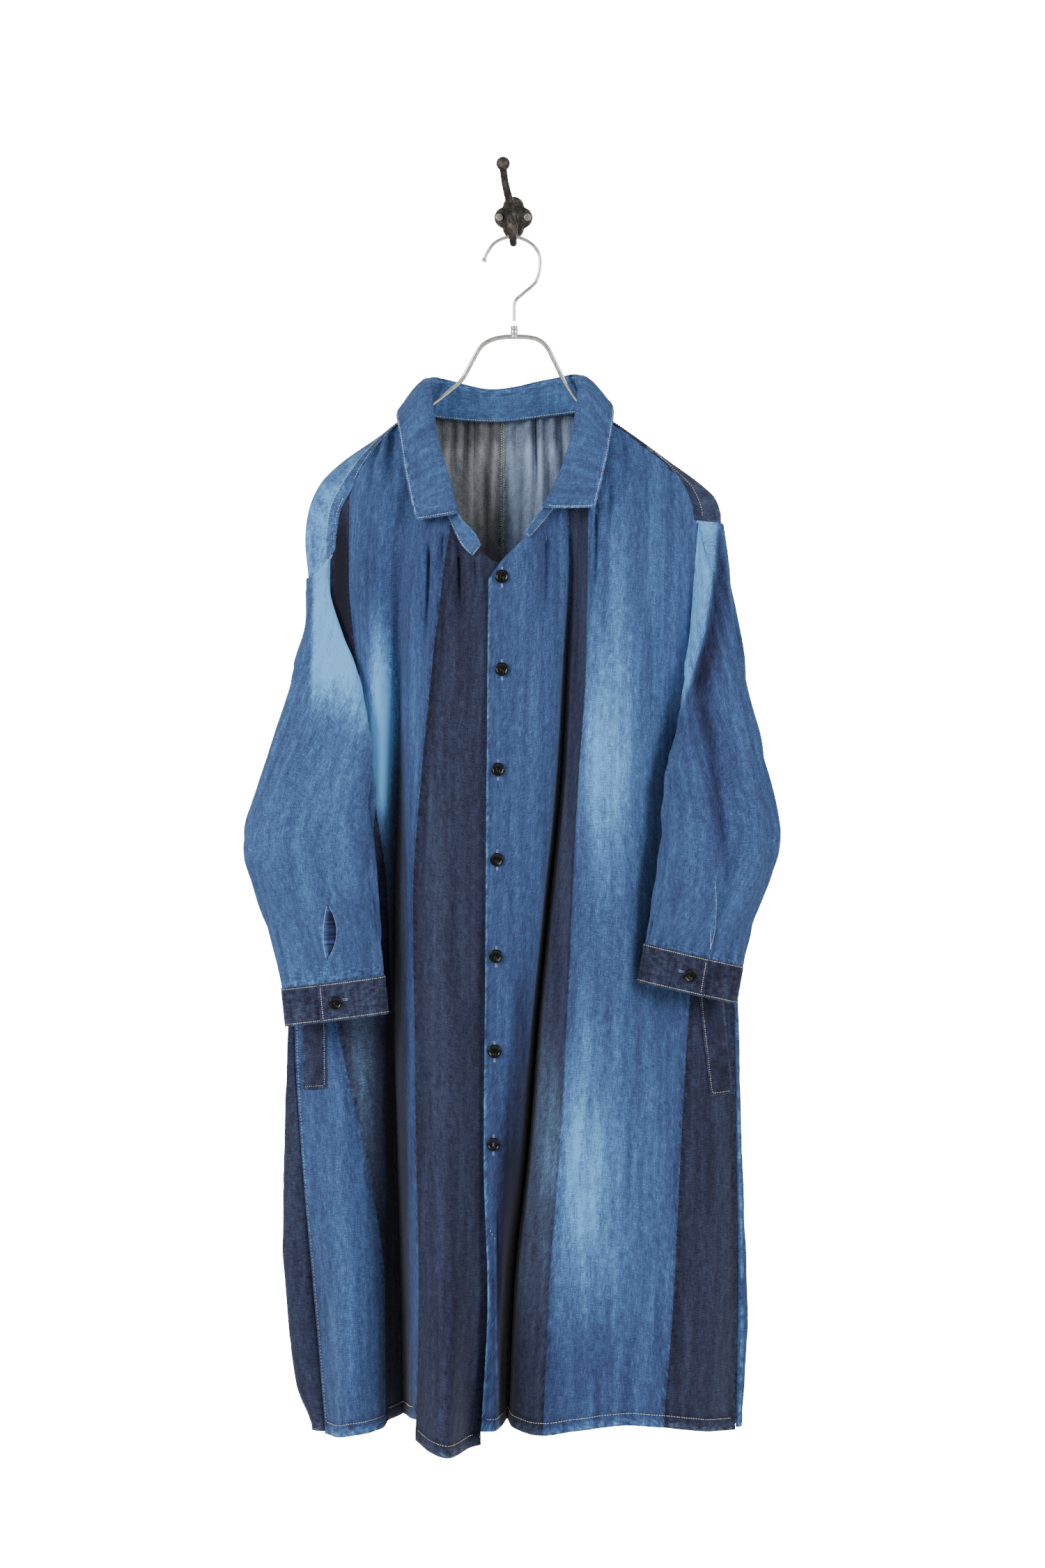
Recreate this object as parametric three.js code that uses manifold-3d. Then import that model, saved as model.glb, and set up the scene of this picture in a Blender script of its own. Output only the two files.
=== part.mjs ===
// A patchwork denim coat, buttoned and hanging empty on a steel hanger from a cast wall hook.
// Millimetres: +X to the viewer's right, +Y into the wall, +Z up, and the coat faces -Y.
// The origin is the middle of the wall hook's flat back face, on the wall.
// A drop is a height below the origin and a depth is a distance out from the wall.
// Left and right in the names are the wearer's, so right is at -X.
import * as THREE from "three";
import ManifoldModule from "manifold-3d";

// Cloth, seams and hems
const CLOTH = 1.5;
const COLLAR_CLOTH = 2.4;
const CUFF_CLOTH = 2.2;
const HEM_EXTRA = 1.0;
const HEM_BAND = 13;
const SEAM = 0.17;
const AIR = 0.35;
const TOP_AIR = 0.8;

// Heights of the sections through the body, as drops
const DROPS = [245, 310, 390, 490, 610, 745, 880, 1020, 1160, 1310];
const UNDERARM = 610;
const FACET_ROWS = [380, 430, 490, 550, 600, 655, 700, 745, 812, 880, 950, 1020, 1090, 1160, 1235];
const BODY_ROWS = [655, 700, 745, 812, 880, 950, 1020, 1090, 1160, 1235];

// Wall hook and hanger
const PLATE_THICK = 4.5;
const PLATE_LOBE = 12;
const PLATE_REACH_X = 15;
const PLATE_REACH_Z = 17;
const PRONG_RADIUS = 4.4;
const SCREW_SPREAD = 15.3;
const SCREW_RADIUS = 4.2;
const HANGER_DEPTH = 46;
const HOOK_WIRE = 1.9;
const ARM_RADIUS = 2.5;
const ARM_AIR = 1.15;
const FERRULE_RADIUS = 3.8;

// Buttons
const BUTTON_RADIUS = 7.4;
const BUTTON_THICK = 3;
const CUFF_BUTTON_RADIUS = 7.2;
const BUTTON_DROPS = [398, 497, 604, 700, 803, 904, 1003];
const BUTTON_X = [-12, -12, -16, -17, -18, -20, -21];

const lerp = (a, b, t) => a + (b - a) * t;
const clamp01 = (t) => Math.min(1, Math.max(0, t));

function ease(from, to, value) {
  const t = clamp01((value - from) / (to - from));
  return t * t * (3 - 2 * t);
}

// Smooth curve through rising xs that never overshoots its points
function curve(xs, ys) {
  const n = xs.length;
  const rise = [];
  for (let i = 0; i < n - 1; i += 1) rise.push((ys[i + 1] - ys[i]) / (xs[i + 1] - xs[i]));
  const slope = ys.map((_, i) => {
    if (i === 0) return rise[0];
    if (i === n - 1) return rise[n - 2];
    const before = rise[i - 1];
    const after = rise[i];
    return before * after <= 0 ? 0 : (2 * before * after) / (before + after);
  });
  return (x) => {
    if (x <= xs[0]) return ys[0];
    if (x >= xs[n - 1]) return ys[n - 1];
    let i = 0;
    while (x > xs[i + 1]) i += 1;
    const w = xs[i + 1] - xs[i];
    const t = (x - xs[i]) / w;
    const a = (1 - t) * (1 - t);
    const b = t * t;
    return (1 + 2 * t) * a * ys[i] + t * a * w * slope[i]
      + b * (3 - 2 * t) * ys[i + 1] + b * (t - 1) * w * slope[i + 1];
  };
}

const overDrops = (values) => curve(DROPS, values);
const fold = (x, depth) => ({ x: overDrops(x), depth: overDrops(depth) });
const place = (x, drop, depth) => new THREE.Vector3(x, -depth, -drop);

// Right front: long folds from the side to the lapped edge, as x and depth at each section
const rightSide = fold(
  [-190, -189, -197, -191, -182, -221, -236, -228, -215, -202],
  [54, 55, 56, 57, 46, 44, 45, 52, 57, 60],
);
const rightCentre = fold(
  [-24, -25, -26, -27, -28, -29, -30, -31, -27, -32],
  [78, 79, 82, 84, 86, 88, 90, 92, 92, 90],
);
const RIGHT_FOLDS = [
  rightSide,
  fold(
    [-144, -153, -154, -146, -144, -163, -189, -184, -173, -168],
    [62, 66, 69, 69, 60, 49, 52, 80, 96, 105],
  ),
  fold(
    [-131, -122, -123, -125, -128, -131, -132, -129, -125, -122],
    [62, 64, 60, 55, 51, 47, 45, 45, 47, 50],
  ),
  fold([-87, -76, -65, -63, -64, -67, -68, -70, -71, -71], [66, 74, 83, 87, 91, 98, 107, 117, 128, 140]),
  rightCentre,
  fold([0, -1, -2, -3, -4, -5, -10, -15, -17, -25], [78, 79, 82, 84, 86, 88, 89, 91, 90, 89]),
];
const rightGoreSeam = overDrops([-190, -189, -197, -191, -182, -211, -190, -159, -139, -138]);
const rightPanelSeam = overDrops([-163, -176, -177, -168, -153, -136, -132, -130, -126, -124]);
const rightCentreSeam = overDrops([-61, -63, -74, -86, -98, -107, -105, -103, -100, -103]);

// Left front, from the front edge to the side
const leftEdge = fold(
  [-24, -25, -26, -27, -28, -29, -30, -31, -26, -32],
  [82, 83, 86, 88, 90, 92, 95, 97, 98, 97],
);
const leftValley = fold(
  [47, 56, 61, 57, 51, 38, 25, 14, -1, -7],
  [66, 66, 62, 58, 56, 54, 52, 52, 54, 58],
);
const leftSide = fold(
  [198, 200, 195, 188, 187, 230, 238, 240, 241, 239],
  [54, 55, 57, 57, 46, 45, 48, 51, 54, 56],
);
const LEFT_FOLDS = [
  leftEdge,
  fold([6, 8, 10, 8, 5, 0, -6, -12, -16, -21], [74, 80, 88, 92, 94, 95, 96, 97, 97, 95]),
  leftValley,
  fold([86, 86, 86, 84, 78, 72, 66, 60, 51, 43], [66, 72, 78, 84, 90, 95, 101, 107, 113, 118]),
  fold([111, 112, 114, 116, 115, 112, 111, 110, 109, 106], [63, 71, 79, 86, 93, 99, 105, 110, 112, 112]),
  fold([136, 143, 153, 162, 161, 153, 155, 160, 158, 154], [60, 64, 66, 62, 66, 72, 84, 98, 104, 106]),
  fold([160, 173, 175, 175, 178, 198, 209, 210, 207, 203], [58, 60, 63, 61, 52, 54, 62, 76, 86, 90]),
  leftSide,
];
const leftInsetSeam = (drop) => leftValley.x(drop) + 2;
const leftPanelSeam = overDrops([80, 80, 79, 78, 70, 63, 57, 49, 38, 32]);
const leftGoreSeam = overDrops([198, 200, 195, 188, 185, 197, 187, 178, 171, 159]);

// Short released tucks: x at top and bottom, drop at top and bottom, how deep and how wide
const RIGHT_TUCKS = [
  [-91, -93, 365, 460, 6, 7], [-58, -60, 375, 455, 5, 6],
  [-146, -156, 250, 340, 4, 7], [-128, -136, 240, 310, 4, 6],
];
const LEFT_TUCKS = [
  [34, 33, 355, 450, 6, 6], [89, 87, 335, 450, 6, 7], [168, 190, 280, 390, 4, 7],
];

function tuckDepth(tucks, x, drop) {
  let sum = 0;
  for (const [x0, x1, top, end, deep, wide] of tucks) {
    const t = (drop - top) / (end - top);
    const fade = ease(-0.25, 0.25, t) * (1 - ease(0.35, 1.2, t));
    const off = (x - lerp(x0, x1, clamp01(t))) / wide;
    sum += deep * fade * Math.exp(-off * off);
  }
  return sum;
}

const foldDepth = (folds, tucks) => (x, drop) => {
  const across = curve(folds.map((f) => f.x(drop)), folds.map((f) => f.depth(drop)));
  return across(x) - tuckDepth(tucks, x, drop);
};
const rightDepth = foldDepth(RIGHT_FOLDS, RIGHT_TUCKS);
const leftDepth = foldDepth(LEFT_FOLDS, LEFT_TUCKS);

// Back: hangs near the wall, gathered into the neck seam and waving at the hem
const BACK_CENTRE = -12;
const GATHERS = 15;
const GATHER_SHARE = 0.5;
const backBase = curve([215, 310, 450, 610, 900, 1310], [27, 25, 21, 19, 17, 18]);
const backEdge = curve([215, 350, 610, 745, 1310], [8, 12, 14, 9, 6]);

function backDepth(x, drop) {
  const side = x < BACK_CENTRE ? rightSide.x(drop) : leftSide.x(drop);
  const share = (x - BACK_CENTRE) / (side - BACK_CENTRE);
  const gather = 2.4 * (1 - ease(240, 430, drop)) * (1 - ease(0.43, GATHER_SHARE, share));
  const sway = 4 * ease(420, 1200, drop);
  return backBase(drop) + backEdge(drop) * (Math.abs(x - 3) / 220) ** 3
    + gather * Math.cos((Math.PI * GATHERS * share) / GATHER_SHARE)
    + sway * Math.cos((2 * Math.PI * (x - 3)) / 118);
}

// Shares of the back's width where its columns stand: each gather's crest and hollow, then wider
const BACK_SHARES = [];
for (let k = 0; k <= GATHERS; k += 1) BACK_SHARES.push((k * GATHER_SHARE) / GATHERS);
BACK_SHARES.push(0.6, 0.7, 0.8, 0.9, 1);

// Neckline, shoulder seams and hems, as drops over x
const rightTop = curve(
  [-197, -190, -175, -161, -142, -123, -108, -98, -81, -61, -35, -17, 0],
  [340, 324.5, 300, 274, 250.5, 233, 230, 264, 306, 341, 370, 383, 385],
);
const leftTop = curve(
  [-32, -26, -13, 13, 38, 56, 74, 85, 104, 130, 150, 170, 188, 199, 203],
  [405, 400, 382, 356, 330, 302, 264, 230, 233, 249, 264, 281, 299, 319, 335],
);
const backTop = curve(
  [-197, -195, -192, -186, -172, -146, -124, -109, -73, -20, 40, 84, 105, 134, 162, 186, 198, 202],
  [369, 347, 325, 305, 285, 262, 240, 226, 227, 230, 224, 224, 242, 264, 286, 304, 319, 337],
);
const rightHem = curve([-202, -168, -138, -122, -103], [1309, 1309, 1306, 1302, 1304]);
const centreHem = curve([-103, -85, -60, -40, -20], [1318, 1326, 1330, 1326, 1322]);
const leftHem = curve(
  [-32, -12, -4, 32, 60, 106, 150, 200, 239],
  [1310, 1309, 1306, 1308, 1304, 1300, 1301, 1305, 1298],
);
const backHem = curve([-220, -60, 60, 240], [1302, 1299, 1300, 1298]);

// Outermost line of each side of the body
const rightBulge = curve(
  [610, 745, 880, 980, 1120, 1175, 1240, 1275, 1310],
  [-190, -235, -242, -245, -248, -244, -239, -232, -218],
);
const leftBulge = curve(
  [610, 745, 860, 980, 1085, 1195, 1240, 1310],
  [196, 235, 243, 245, 248, 252, 249, 246],
);

// Shoulders: the ridge over the hanger, the seam in front of it and the seam behind it
const rightShoulder = {
  ridge: [
    [-111, 220, 46], [-126, 230, 46], [-150, 248, 46], [-183, 271, 46],
    [-206, 293, 47], [-216, 316, 48], [-219, 345, 49], [-217, 375, 49],
  ],
  front: [
    [-108, 230], [-123, 232], [-142, 250], [-161, 274], [-175, 300], [-190, 324], [-195, 347], [-197, 369],
  ],
  back: [
    [-109, 226], [-124, 240], [-146, 262], [-172, 285], [-186, 305], [-192, 325], [-195, 347], [-197, 369],
  ],
};
const leftShoulder = {
  ridge: [
    [87, 219, 46], [109, 229, 46], [139, 250, 46], [169, 272, 46],
    [198, 293, 46], [216, 309, 47], [223, 326, 48], [224, 337, 49],
  ],
  front: [[85, 230], [104, 231], [130, 247], [150, 262], [170, 279], [188, 298], [199, 318], [201, 335]],
  back: [[84, 222], [105, 240], [134, 263], [162, 285], [186, 303], [198, 318], [201, 327], [202, 337]],
};

// Sleeves: rings from below the armhole to the cuff, outer edge and inner edge as x, drop, depth,
// then how far the front swells forward and how far it leans in x
const RIGHT_SLEEVE = [
  [[-224, 426, 54], [-162, 612, 70], 16, 36],
  [[-241, 518, 60], [-152, 623, 80], 18, 11],
  [[-273, 619, 66], [-150, 653, 84], 20, 3],
  [[-289, 683, 68], [-148, 698, 84], 20, 0],
  [[-273, 743, 70], [-146, 746, 84], 18, 0],
  [[-258, 791, 74], [-143, 783, 84], 15, 0],
  [[-247, 840, 78], [-139, 826, 84], 13, 0],
];
const LEFT_SLEEVE = [
  [[235, 428, 54], [174, 601, 74], 16, -17],
  [[248, 492, 60], [165, 619, 86], 18, -11],
  [[267, 586, 66], [161, 645, 92], 20, -4],
  [[286, 672, 68], [157, 686, 96], 20, 0],
  [[268, 741, 70], [152, 738, 99], 18, 0],
  [[253, 780, 74], [147, 768, 101], 15, 0],
  [[245, 816, 78], [141, 791, 102], 13, 0],
];
const RING_STEPS = [0.16, 0.3, 0.46, 0.62, 0.77, 0.9, 1];
const CUFF_DROP = 39;

// Collar, from the right front end round the back to the left front end, as x, drop, depth
const STAND_FOOT = [
  [-43, 375, 84], [-54, 364, 84], [-65, 341, 81], [-81, 305, 77], [-98, 262, 68], [-107, 228, 64],
  [-109, 216, 48], [-103, 218, 33], [-73, 222, 25], [-20, 225, 22], [40, 219, 23], [76, 215, 33], [84, 215, 48],
  [85, 226, 66], [74, 262, 70], [56, 301, 76], [38, 329, 81], [16, 356, 89],
];
const STAND_TOP = [
  [-34, 364, 89], [-40, 352, 90], [-58, 331, 87], [-68, 296, 86], [-80, 254, 81], [-87, 212, 73],
  [-88, 186, 58], [-86, 181, 42], [-70, 182, 24], [-22, 191, 20], [40, 180, 21], [66, 178, 42], [69, 182, 58],
  [69, 208, 73], [60, 258, 82], [46, 296, 87], [31, 324, 89], [11, 352, 94],
];
const LEAF_EDGE = [
  [-102, 337, 80], [-108, 312, 79], [-115, 276, 76], [-120, 244, 73], [-122, 225, 62],
  [-117, 216, 40], [-85, 228, 14], [-21, 239, 10], [48, 224, 11], [96, 208, 38],
  [104, 217, 62], [103, 244, 74], [97, 273, 80], [91, 299, 84], [85, 323, 86],
];

const { Manifold, Mesh: ManifoldMesh } = await (async () => {
  const module = await ManifoldModule();
  module.setup();
  return module;
})();

function geometryOf(positions, index) {
  const geometry = new THREE.BufferGeometry();
  geometry.setAttribute("position", new THREE.Float32BufferAttribute(positions, 3));
  geometry.setIndex(index);
  geometry.computeVertexNormals();
  return geometry;
}

// Normals of a grid of points, from its neighbours
function gridNormals(points, ring = false) {
  const rows = points.length;
  const cols = points[0].length;
  return points.map((row, i) => row.map((_, j) => {
    const up = points[Math.max(0, i - 1)][j];
    const down = points[Math.min(rows - 1, i + 1)][j];
    const before = row[ring ? (j + cols - 1) % cols : Math.max(0, j - 1)];
    const after = row[ring ? (j + 1) % cols : Math.min(cols - 1, j + 1)];
    const along = down.clone().sub(up);
    const across = after.clone().sub(before);
    return along.cross(across).normalize();
  }));
}

// Closed wall of even thickness about a grid of points, open in the middle when it is a ring
function wall(points, normals, thickness, ring = false) {
  const rows = points.length;
  const cols = points[0].length;
  const thick = typeof thickness === "function" ? thickness : () => thickness;
  const positions = [];
  for (const side of [0.5, -0.5]) {
    for (let i = 0; i < rows; i += 1) {
      for (let j = 0; j < cols; j += 1) {
        const p = points[i][j].clone().addScaledVector(normals[i][j], side * thick(i, j));
        positions.push(p.x, p.y, p.z);
      }
    }
  }
  const at = (side, i, j) => side * rows * cols + i * cols + (j % cols);
  const quads = [];
  const lastCol = ring ? cols : cols - 1;
  const lastRow = rows - 1;
  for (let i = 0; i < lastRow; i += 1) {
    for (let j = 0; j < lastCol; j += 1) {
      quads.push([at(0, i, j), at(0, i + 1, j), at(0, i + 1, j + 1), at(0, i, j + 1)]);
      quads.push([at(1, i, j), at(1, i, j + 1), at(1, i + 1, j + 1), at(1, i + 1, j)]);
    }
  }
  for (let j = 0; j < lastCol; j += 1) {
    quads.push([at(0, 0, j), at(0, 0, j + 1), at(1, 0, j + 1), at(1, 0, j)]);
    quads.push([at(0, lastRow, j + 1), at(0, lastRow, j), at(1, lastRow, j), at(1, lastRow, j + 1)]);
  }
  if (!ring) {
    for (let i = 0; i < lastRow; i += 1) {
      quads.push([at(0, i + 1, 0), at(0, i, 0), at(1, i, 0), at(1, i + 1, 0)]);
      quads.push([at(0, i, lastCol), at(0, i + 1, lastCol), at(1, i + 1, lastCol), at(1, i, lastCol)]);
    }
  }
  let facing = 0;
  for (let i = 0; i < lastRow; i += 1) {
    for (let j = 0; j < cols - 1; j += 1) {
      const a = points[i + 1][j].clone().sub(points[i][j]);
      const b = points[i][j + 1].clone().sub(points[i][j]);
      facing += a.cross(b).dot(normals[i][j]);
    }
  }
  const index = [];
  for (const [a, b, c, d] of quads) {
    if (facing > 0) index.push(a, b, c, a, c, d);
    else index.push(a, c, b, a, d, c);
  }
  return geometryOf(positions, index);
}

// Outward normal of a depth surface: facing +1 looks away from the wall, -1 towards it
function depthNormal(depth, x, drop, facing) {
  const step = 0.5;
  const dx = (depth(x + step, drop) - depth(x - step, drop)) / (2 * step);
  const dh = (depth(x, drop + step) - depth(x, drop - step)) / (2 * step);
  return new THREE.Vector3(-dx, -1, dh).multiplyScalar(facing).normalize();
}

// One sewn strip between two seams, from its top line to its hem
function strip({ depth, from, to, top, hem, cols, shares, topRows = 7, facing = 1 }) {
  const points = [];
  const normals = [];
  const xAt = (u, drop) => lerp(from(drop) + SEAM, to(drop) - SEAM, u);
  const settle = (u, line, start) => {
    let drop = start;
    for (let k = 0; k < 12; k += 1) drop = line(xAt(u, drop));
    return drop;
  };
  const across = shares || Array.from({ length: cols + 1 }, (_, j) => j / cols);
  for (const u of across) {
    const start = settle(u, top, 320) + TOP_AIR;
    const end = settle(u, hem, 1300);
    const drops = [];
    for (let i = 0; i < topRows; i += 1) drops.push(lerp(start, BODY_ROWS[0], (i / topRows) ** 1.15));
    drops.push(...BODY_ROWS, end - HEM_BAND - 1, end - HEM_BAND, end);
    drops.forEach((drop, i) => {
      points[i] = points[i] || [];
      normals[i] = normals[i] || [];
      const x = xAt(u, drop);
      points[i].push(place(x, drop, depth(x, drop)));
      normals[i].push(depthNormal(depth, x, drop, facing));
    });
  }
  const plain = points.length - 2;
  return wall(points, normals, (i) => (i >= plain ? CLOTH + HEM_EXTRA : CLOTH));
}

// Middle surface of a strip as its flat facets lie, for what is laid on it
function facets({ depth, from, to, cols }) {
  const corner = (j, drop) => {
    const x = lerp(from(drop) + SEAM, to(drop) - SEAM, j / cols);
    return place(x, drop, depth(x, drop));
  };
  return (x, drop) => {
    let row = 0;
    while (row < FACET_ROWS.length - 2 && drop > FACET_ROWS[row + 1]) row += 1;
    const [above, below] = [FACET_ROWS[row], FACET_ROWS[row + 1]];
    const v = (drop - above) / (below - above);
    const across = clamp01((x - from(drop)) / (to(drop) - from(drop))) * cols;
    const j = Math.min(cols - 1, Math.floor(across));
    const top = corner(j, above).lerp(corner(j + 1, above), across - j);
    const end = corner(j, below).lerp(corner(j + 1, below), across - j);
    return top.lerp(end, v);
  };
}

// Strip that wraps one side of the body, from the front seam round to the back
const sideReach = (sign, drop) => -sign * 16 * ease(600, 700, drop);

function sideArc(side, bulge, sign, drop, angle) {
  const xFront = side.x(drop);
  const xBack = xFront + sideReach(sign, drop);
  const dFront = side.depth(drop);
  const dBack = backDepth(xBack, drop);
  const t = (1 + Math.sin(angle)) / 2;
  const x = lerp(xBack, xFront, t) + (bulge(drop) - xFront) * Math.cos(angle);
  return place(x, drop, lerp(dBack, dFront, t));
}

function sideStrip(side, bulge, sign, hemDrop) {
  const cols = 7;
  const drops = [UNDERARM + 4, ...BODY_ROWS, hemDrop - HEM_BAND, hemDrop];
  const points = drops.map((drop) => {
    const row = [];
    const swell = Math.max(3, Math.abs(bulge(drop) - side.x(drop)));
    const most = lerp(0.75, 1, ease(UNDERARM, BODY_ROWS[2], drop)) * (Math.PI / 2);
    const reach = Math.min(most, Math.acos(0.7 / swell));
    for (let j = 0; j <= cols; j += 1) {
      const angle = lerp(reach, -reach, j / cols);
      row.push(sideArc(side, bulge, sign, drop, angle));
    }
    return row;
  });
  return wall(points, gridNormals(points), CLOTH);
}

// Smooth run through stations, read at 0 to 1
function run(stations) {
  const points = stations.map(([x, drop, depth]) => place(x, drop, depth));
  const path = new THREE.CatmullRomCurve3(points, false, "centripetal");
  return (t) => path.getPoint(t);
}

function shoulderLines(shoulder, depth) {
  const ridge = run(shoulder.ridge);
  const front = run(shoulder.front.map(([x, drop]) => [x, drop, depth(x, drop)]));
  const back = run(shoulder.back.map(([x, drop]) => [x, drop, backDepth(x, drop)]));
  return (t, q) => {
    const foot = q > 0 ? front(t) : back(t);
    const top = ridge(t);
    const angle = (1 - Math.abs(q)) * (Math.PI / 2);
    return new THREE.Vector3(
      lerp(foot.x, top.x, 1 - Math.abs(q)),
      lerp(foot.y, top.y, 1 - Math.cos(angle)),
      lerp(foot.z, top.z, Math.sin(angle)),
    );
  };
}

function shoulderPiece(lines) {
  const rows = 8;
  const cols = 12;
  const short = (t, way) => {
    const rise = Math.abs(lines(t, 0).z - lines(t, way).z);
    const clear = way > 0 ? 0.4 : 1.2;
    return way * (1 - Math.asin(Math.min(0.5, clear / rise)) / (Math.PI / 2));
  };
  const points = [];
  for (let i = 0; i <= rows; i += 1) {
    points.push([]);
    for (let j = 0; j <= cols; j += 1) {
      const t = j / cols;
      points[i].push(lines(t, lerp(short(t, 1), short(t, -1), i / rows)));
    }
  }
  return wall(points, gridNormals(points), CLOTH);
}

// Armhole ring, by angle from the shoulder end forward and round
function armhole(lines, side, bulge, sign, depth, topDrop) {
  const corner = Math.PI / 6;
  const under = Math.PI / 9;
  const bottom = UNDERARM - 2;
  const backX = (drop) => side.x(drop) + sideReach(sign, drop);
  return (angle) => {
    const turn = angle > Math.PI ? 2 * Math.PI - angle : angle;
    const front = angle <= Math.PI;
    let p;
    if (turn < corner) {
      p = lines(1, (front ? 1 : -1) * (turn / corner));
    } else if (turn < Math.PI - under) {
      const drop = lerp(topDrop, bottom - 8, (turn - corner) / (Math.PI - under - corner));
      const x = front ? side.x(drop) : backX(drop);
      p = place(x, drop, front ? depth(x, drop) : backDepth(x, drop));
    } else {
      const part = ((front ? 1 : -1) * (Math.PI - turn)) / under;
      p = sideArc(side, bulge, sign, bottom - 8 * part * part, (part * Math.PI) / 2);
    }
    return p.add(new THREE.Vector3(sign * 1.3, 0, turn < corner ? -1.8 : 0));
  };
}

function sleeveAt(rings, start, sign) {
  const station = (pick) => {
    const parts = [0, 1, 2].map((k) => curve(RING_STEPS, rings.map((r) => pick(r)[k])));
    return (t) => place(parts[0](t), parts[1](t), parts[2](t));
  };
  const outer = station((r) => r[0]);
  const inner = station((r) => r[1]);
  const swell = curve(RING_STEPS, rings.map((r) => r[2]));
  const lean = curve(RING_STEPS, rings.map((r) => r[3]));
  return (angle, t) => {
    const o = outer(t);
    const n = inner(t);
    const half = o.clone().sub(n).multiplyScalar(0.5);
    const p = o.clone().add(n).multiplyScalar(0.5).addScaledVector(half, Math.cos(angle));
    p.x += lean(t) * Math.sin(angle);
    p.y -= swell(t) * Math.sin(angle) * (1 + 0.12 * Math.cos(angle));
    const first = start(angle);
    first.x += sign * 10 * (1 - Math.exp(-t / 0.04));
    return first.lerp(p, ease(0.02, 0.22, t));
  };
}

const SLEEVE_ROWS = [0, 0.03, 0.07, 0.12, 0.18, 0.25, 0.33, 0.42, 0.51, 0.6, 0.68, 0.76, 0.84, 0.92, 0.9995];

function sleeve(at, cols) {
  const points = SLEEVE_ROWS.map((t) => {
    const row = [];
    for (let j = 0; j < cols; j += 1) row.push(at((2 * Math.PI * j) / cols, t));
    return row;
  });
  return wall(points, gridNormals(points, true), CLOTH, true);
}

// Lapped cuff: one band that starts under its own end
function cuff(at, lean) {
  const cols = 30;
  const points = [];
  const from = 1.72;
  const to = 1.27 - 2 * Math.PI;
  for (const level of [0, 0.5, 1]) {
    const row = [];
    for (let j = 0; j <= cols; j += 1) {
      const angle = lerp(from, to, j / cols);
      const p = at(((angle % (2 * Math.PI)) + 2 * Math.PI) % (2 * Math.PI), 1);
      p.x += lean * level;
      p.z -= 0.7 + (CUFF_DROP - 0.7) * level;
      p.y -= (CUFF_CLOTH + 0.5) * ease(-Math.PI, -1.35 * Math.PI, angle);
      row.push(p);
    }
    points.push(row);
  }
  return { points, geometry: wall(points, gridNormals(points), CUFF_CLOTH) };
}

// Collar: the stand from the neck seam up to the roll, and the leaf over it and down
const COLLAR_COLS = 26;
const standFoot = run(STAND_FOOT);
const standTop = run(STAND_TOP);
const leafEdge = run(LEAF_EDGE);
const LEAF_FROM = 2 / 17;
const LEAF_TO = 16 / 17;

function standGeometry() {
  const points = [];
  for (const level of [0, 0.33, 0.67, 1]) {
    const row = [];
    for (let j = 0; j <= COLLAR_COLS; j += 1) {
      const foot = standFoot(j / COLLAR_COLS);
      const top = standTop(j / COLLAR_COLS);
      const length = top.distanceTo(foot);
      row.push(foot.lerp(top, lerp(0.6 / length, 1 - 4 / length, level)));
    }
    points.push(row);
  }
  return wall(points, gridNormals(points), COLLAR_CLOTH);
}

function leafGeometry() {
  const rows = 6;
  const points = [];
  for (let i = 0; i <= rows; i += 1) points.push([]);
  for (let j = 0; j <= COLLAR_COLS; j += 1) {
    const t = lerp(LEAF_FROM, LEAF_TO, j / COLLAR_COLS);
    const foot = standFoot(t);
    const top = standTop(t);
    const edge = leafEdge(j / COLLAR_COLS);
    const along = standTop(Math.min(1, t + 0.01)).sub(standTop(Math.max(0, t - 0.01)));
    const rise = top.clone().sub(foot).normalize();
    const out = along.cross(rise).normalize();
    if (out.dot(edge.clone().sub(foot)) < 0) out.negate();
    for (let i = 0; i <= rows; i += 1) {
      const level = i / rows;
      const p = top.clone().addScaledVector(rise, 1).lerp(edge, level);
      const lift = 4 * ease(0, 0.12, level) + 5 * Math.sin(Math.PI * level) * (1 - level);
      points[i].push(p.addScaledVector(out, lift));
    }
  }
  return wall(points, gridNormals(points), COLLAR_CLOTH);
}

// Pocket welt: lies on a front strip, a little above its cloth
function welt(surface, corners) {
  const rows = 8;
  const cols = 4;
  const thick = 1.6;
  const points = [];
  for (let i = 0; i <= rows; i += 1) {
    points.push([]);
    for (let j = 0; j <= cols; j += 1) {
      const v = i / rows;
      const u = j / cols;
      const x = lerp(lerp(corners[0][0], corners[3][0], v), lerp(corners[1][0], corners[2][0], v), u);
      const drop = lerp(lerp(corners[0][1], corners[3][1], v), lerp(corners[1][1], corners[2][1], v), u);
      points[i].push(surface(x, drop));
    }
  }
  const normals = gridNormals(points);
  const lift = (CLOTH + thick) / 2 + 0.85;
  points.forEach((row, i) => row.forEach((p, j) => {
    if (normals[i][j].y > 0) normals[i][j].negate();
    p.addScaledVector(normals[i][j], lift);
  }));
  return wall(points, normals, thick);
}

// Round rod along a path
function rod(points, radius, sides, steps) {
  const path = new THREE.CatmullRomCurve3(points, false, "centripetal");
  const section = new THREE.Shape();
  for (let k = 0; k < sides; k += 1) {
    const a = (2 * Math.PI * k) / sides;
    if (k === 0) section.moveTo(radius * Math.cos(a), radius * Math.sin(a));
    else section.lineTo(radius * Math.cos(a), radius * Math.sin(a));
  }
  section.closePath();
  const geometry = new THREE.ExtrudeGeometry(section, { steps, bevelEnabled: false, extrudePath: path });
  return geometry;
}

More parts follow.
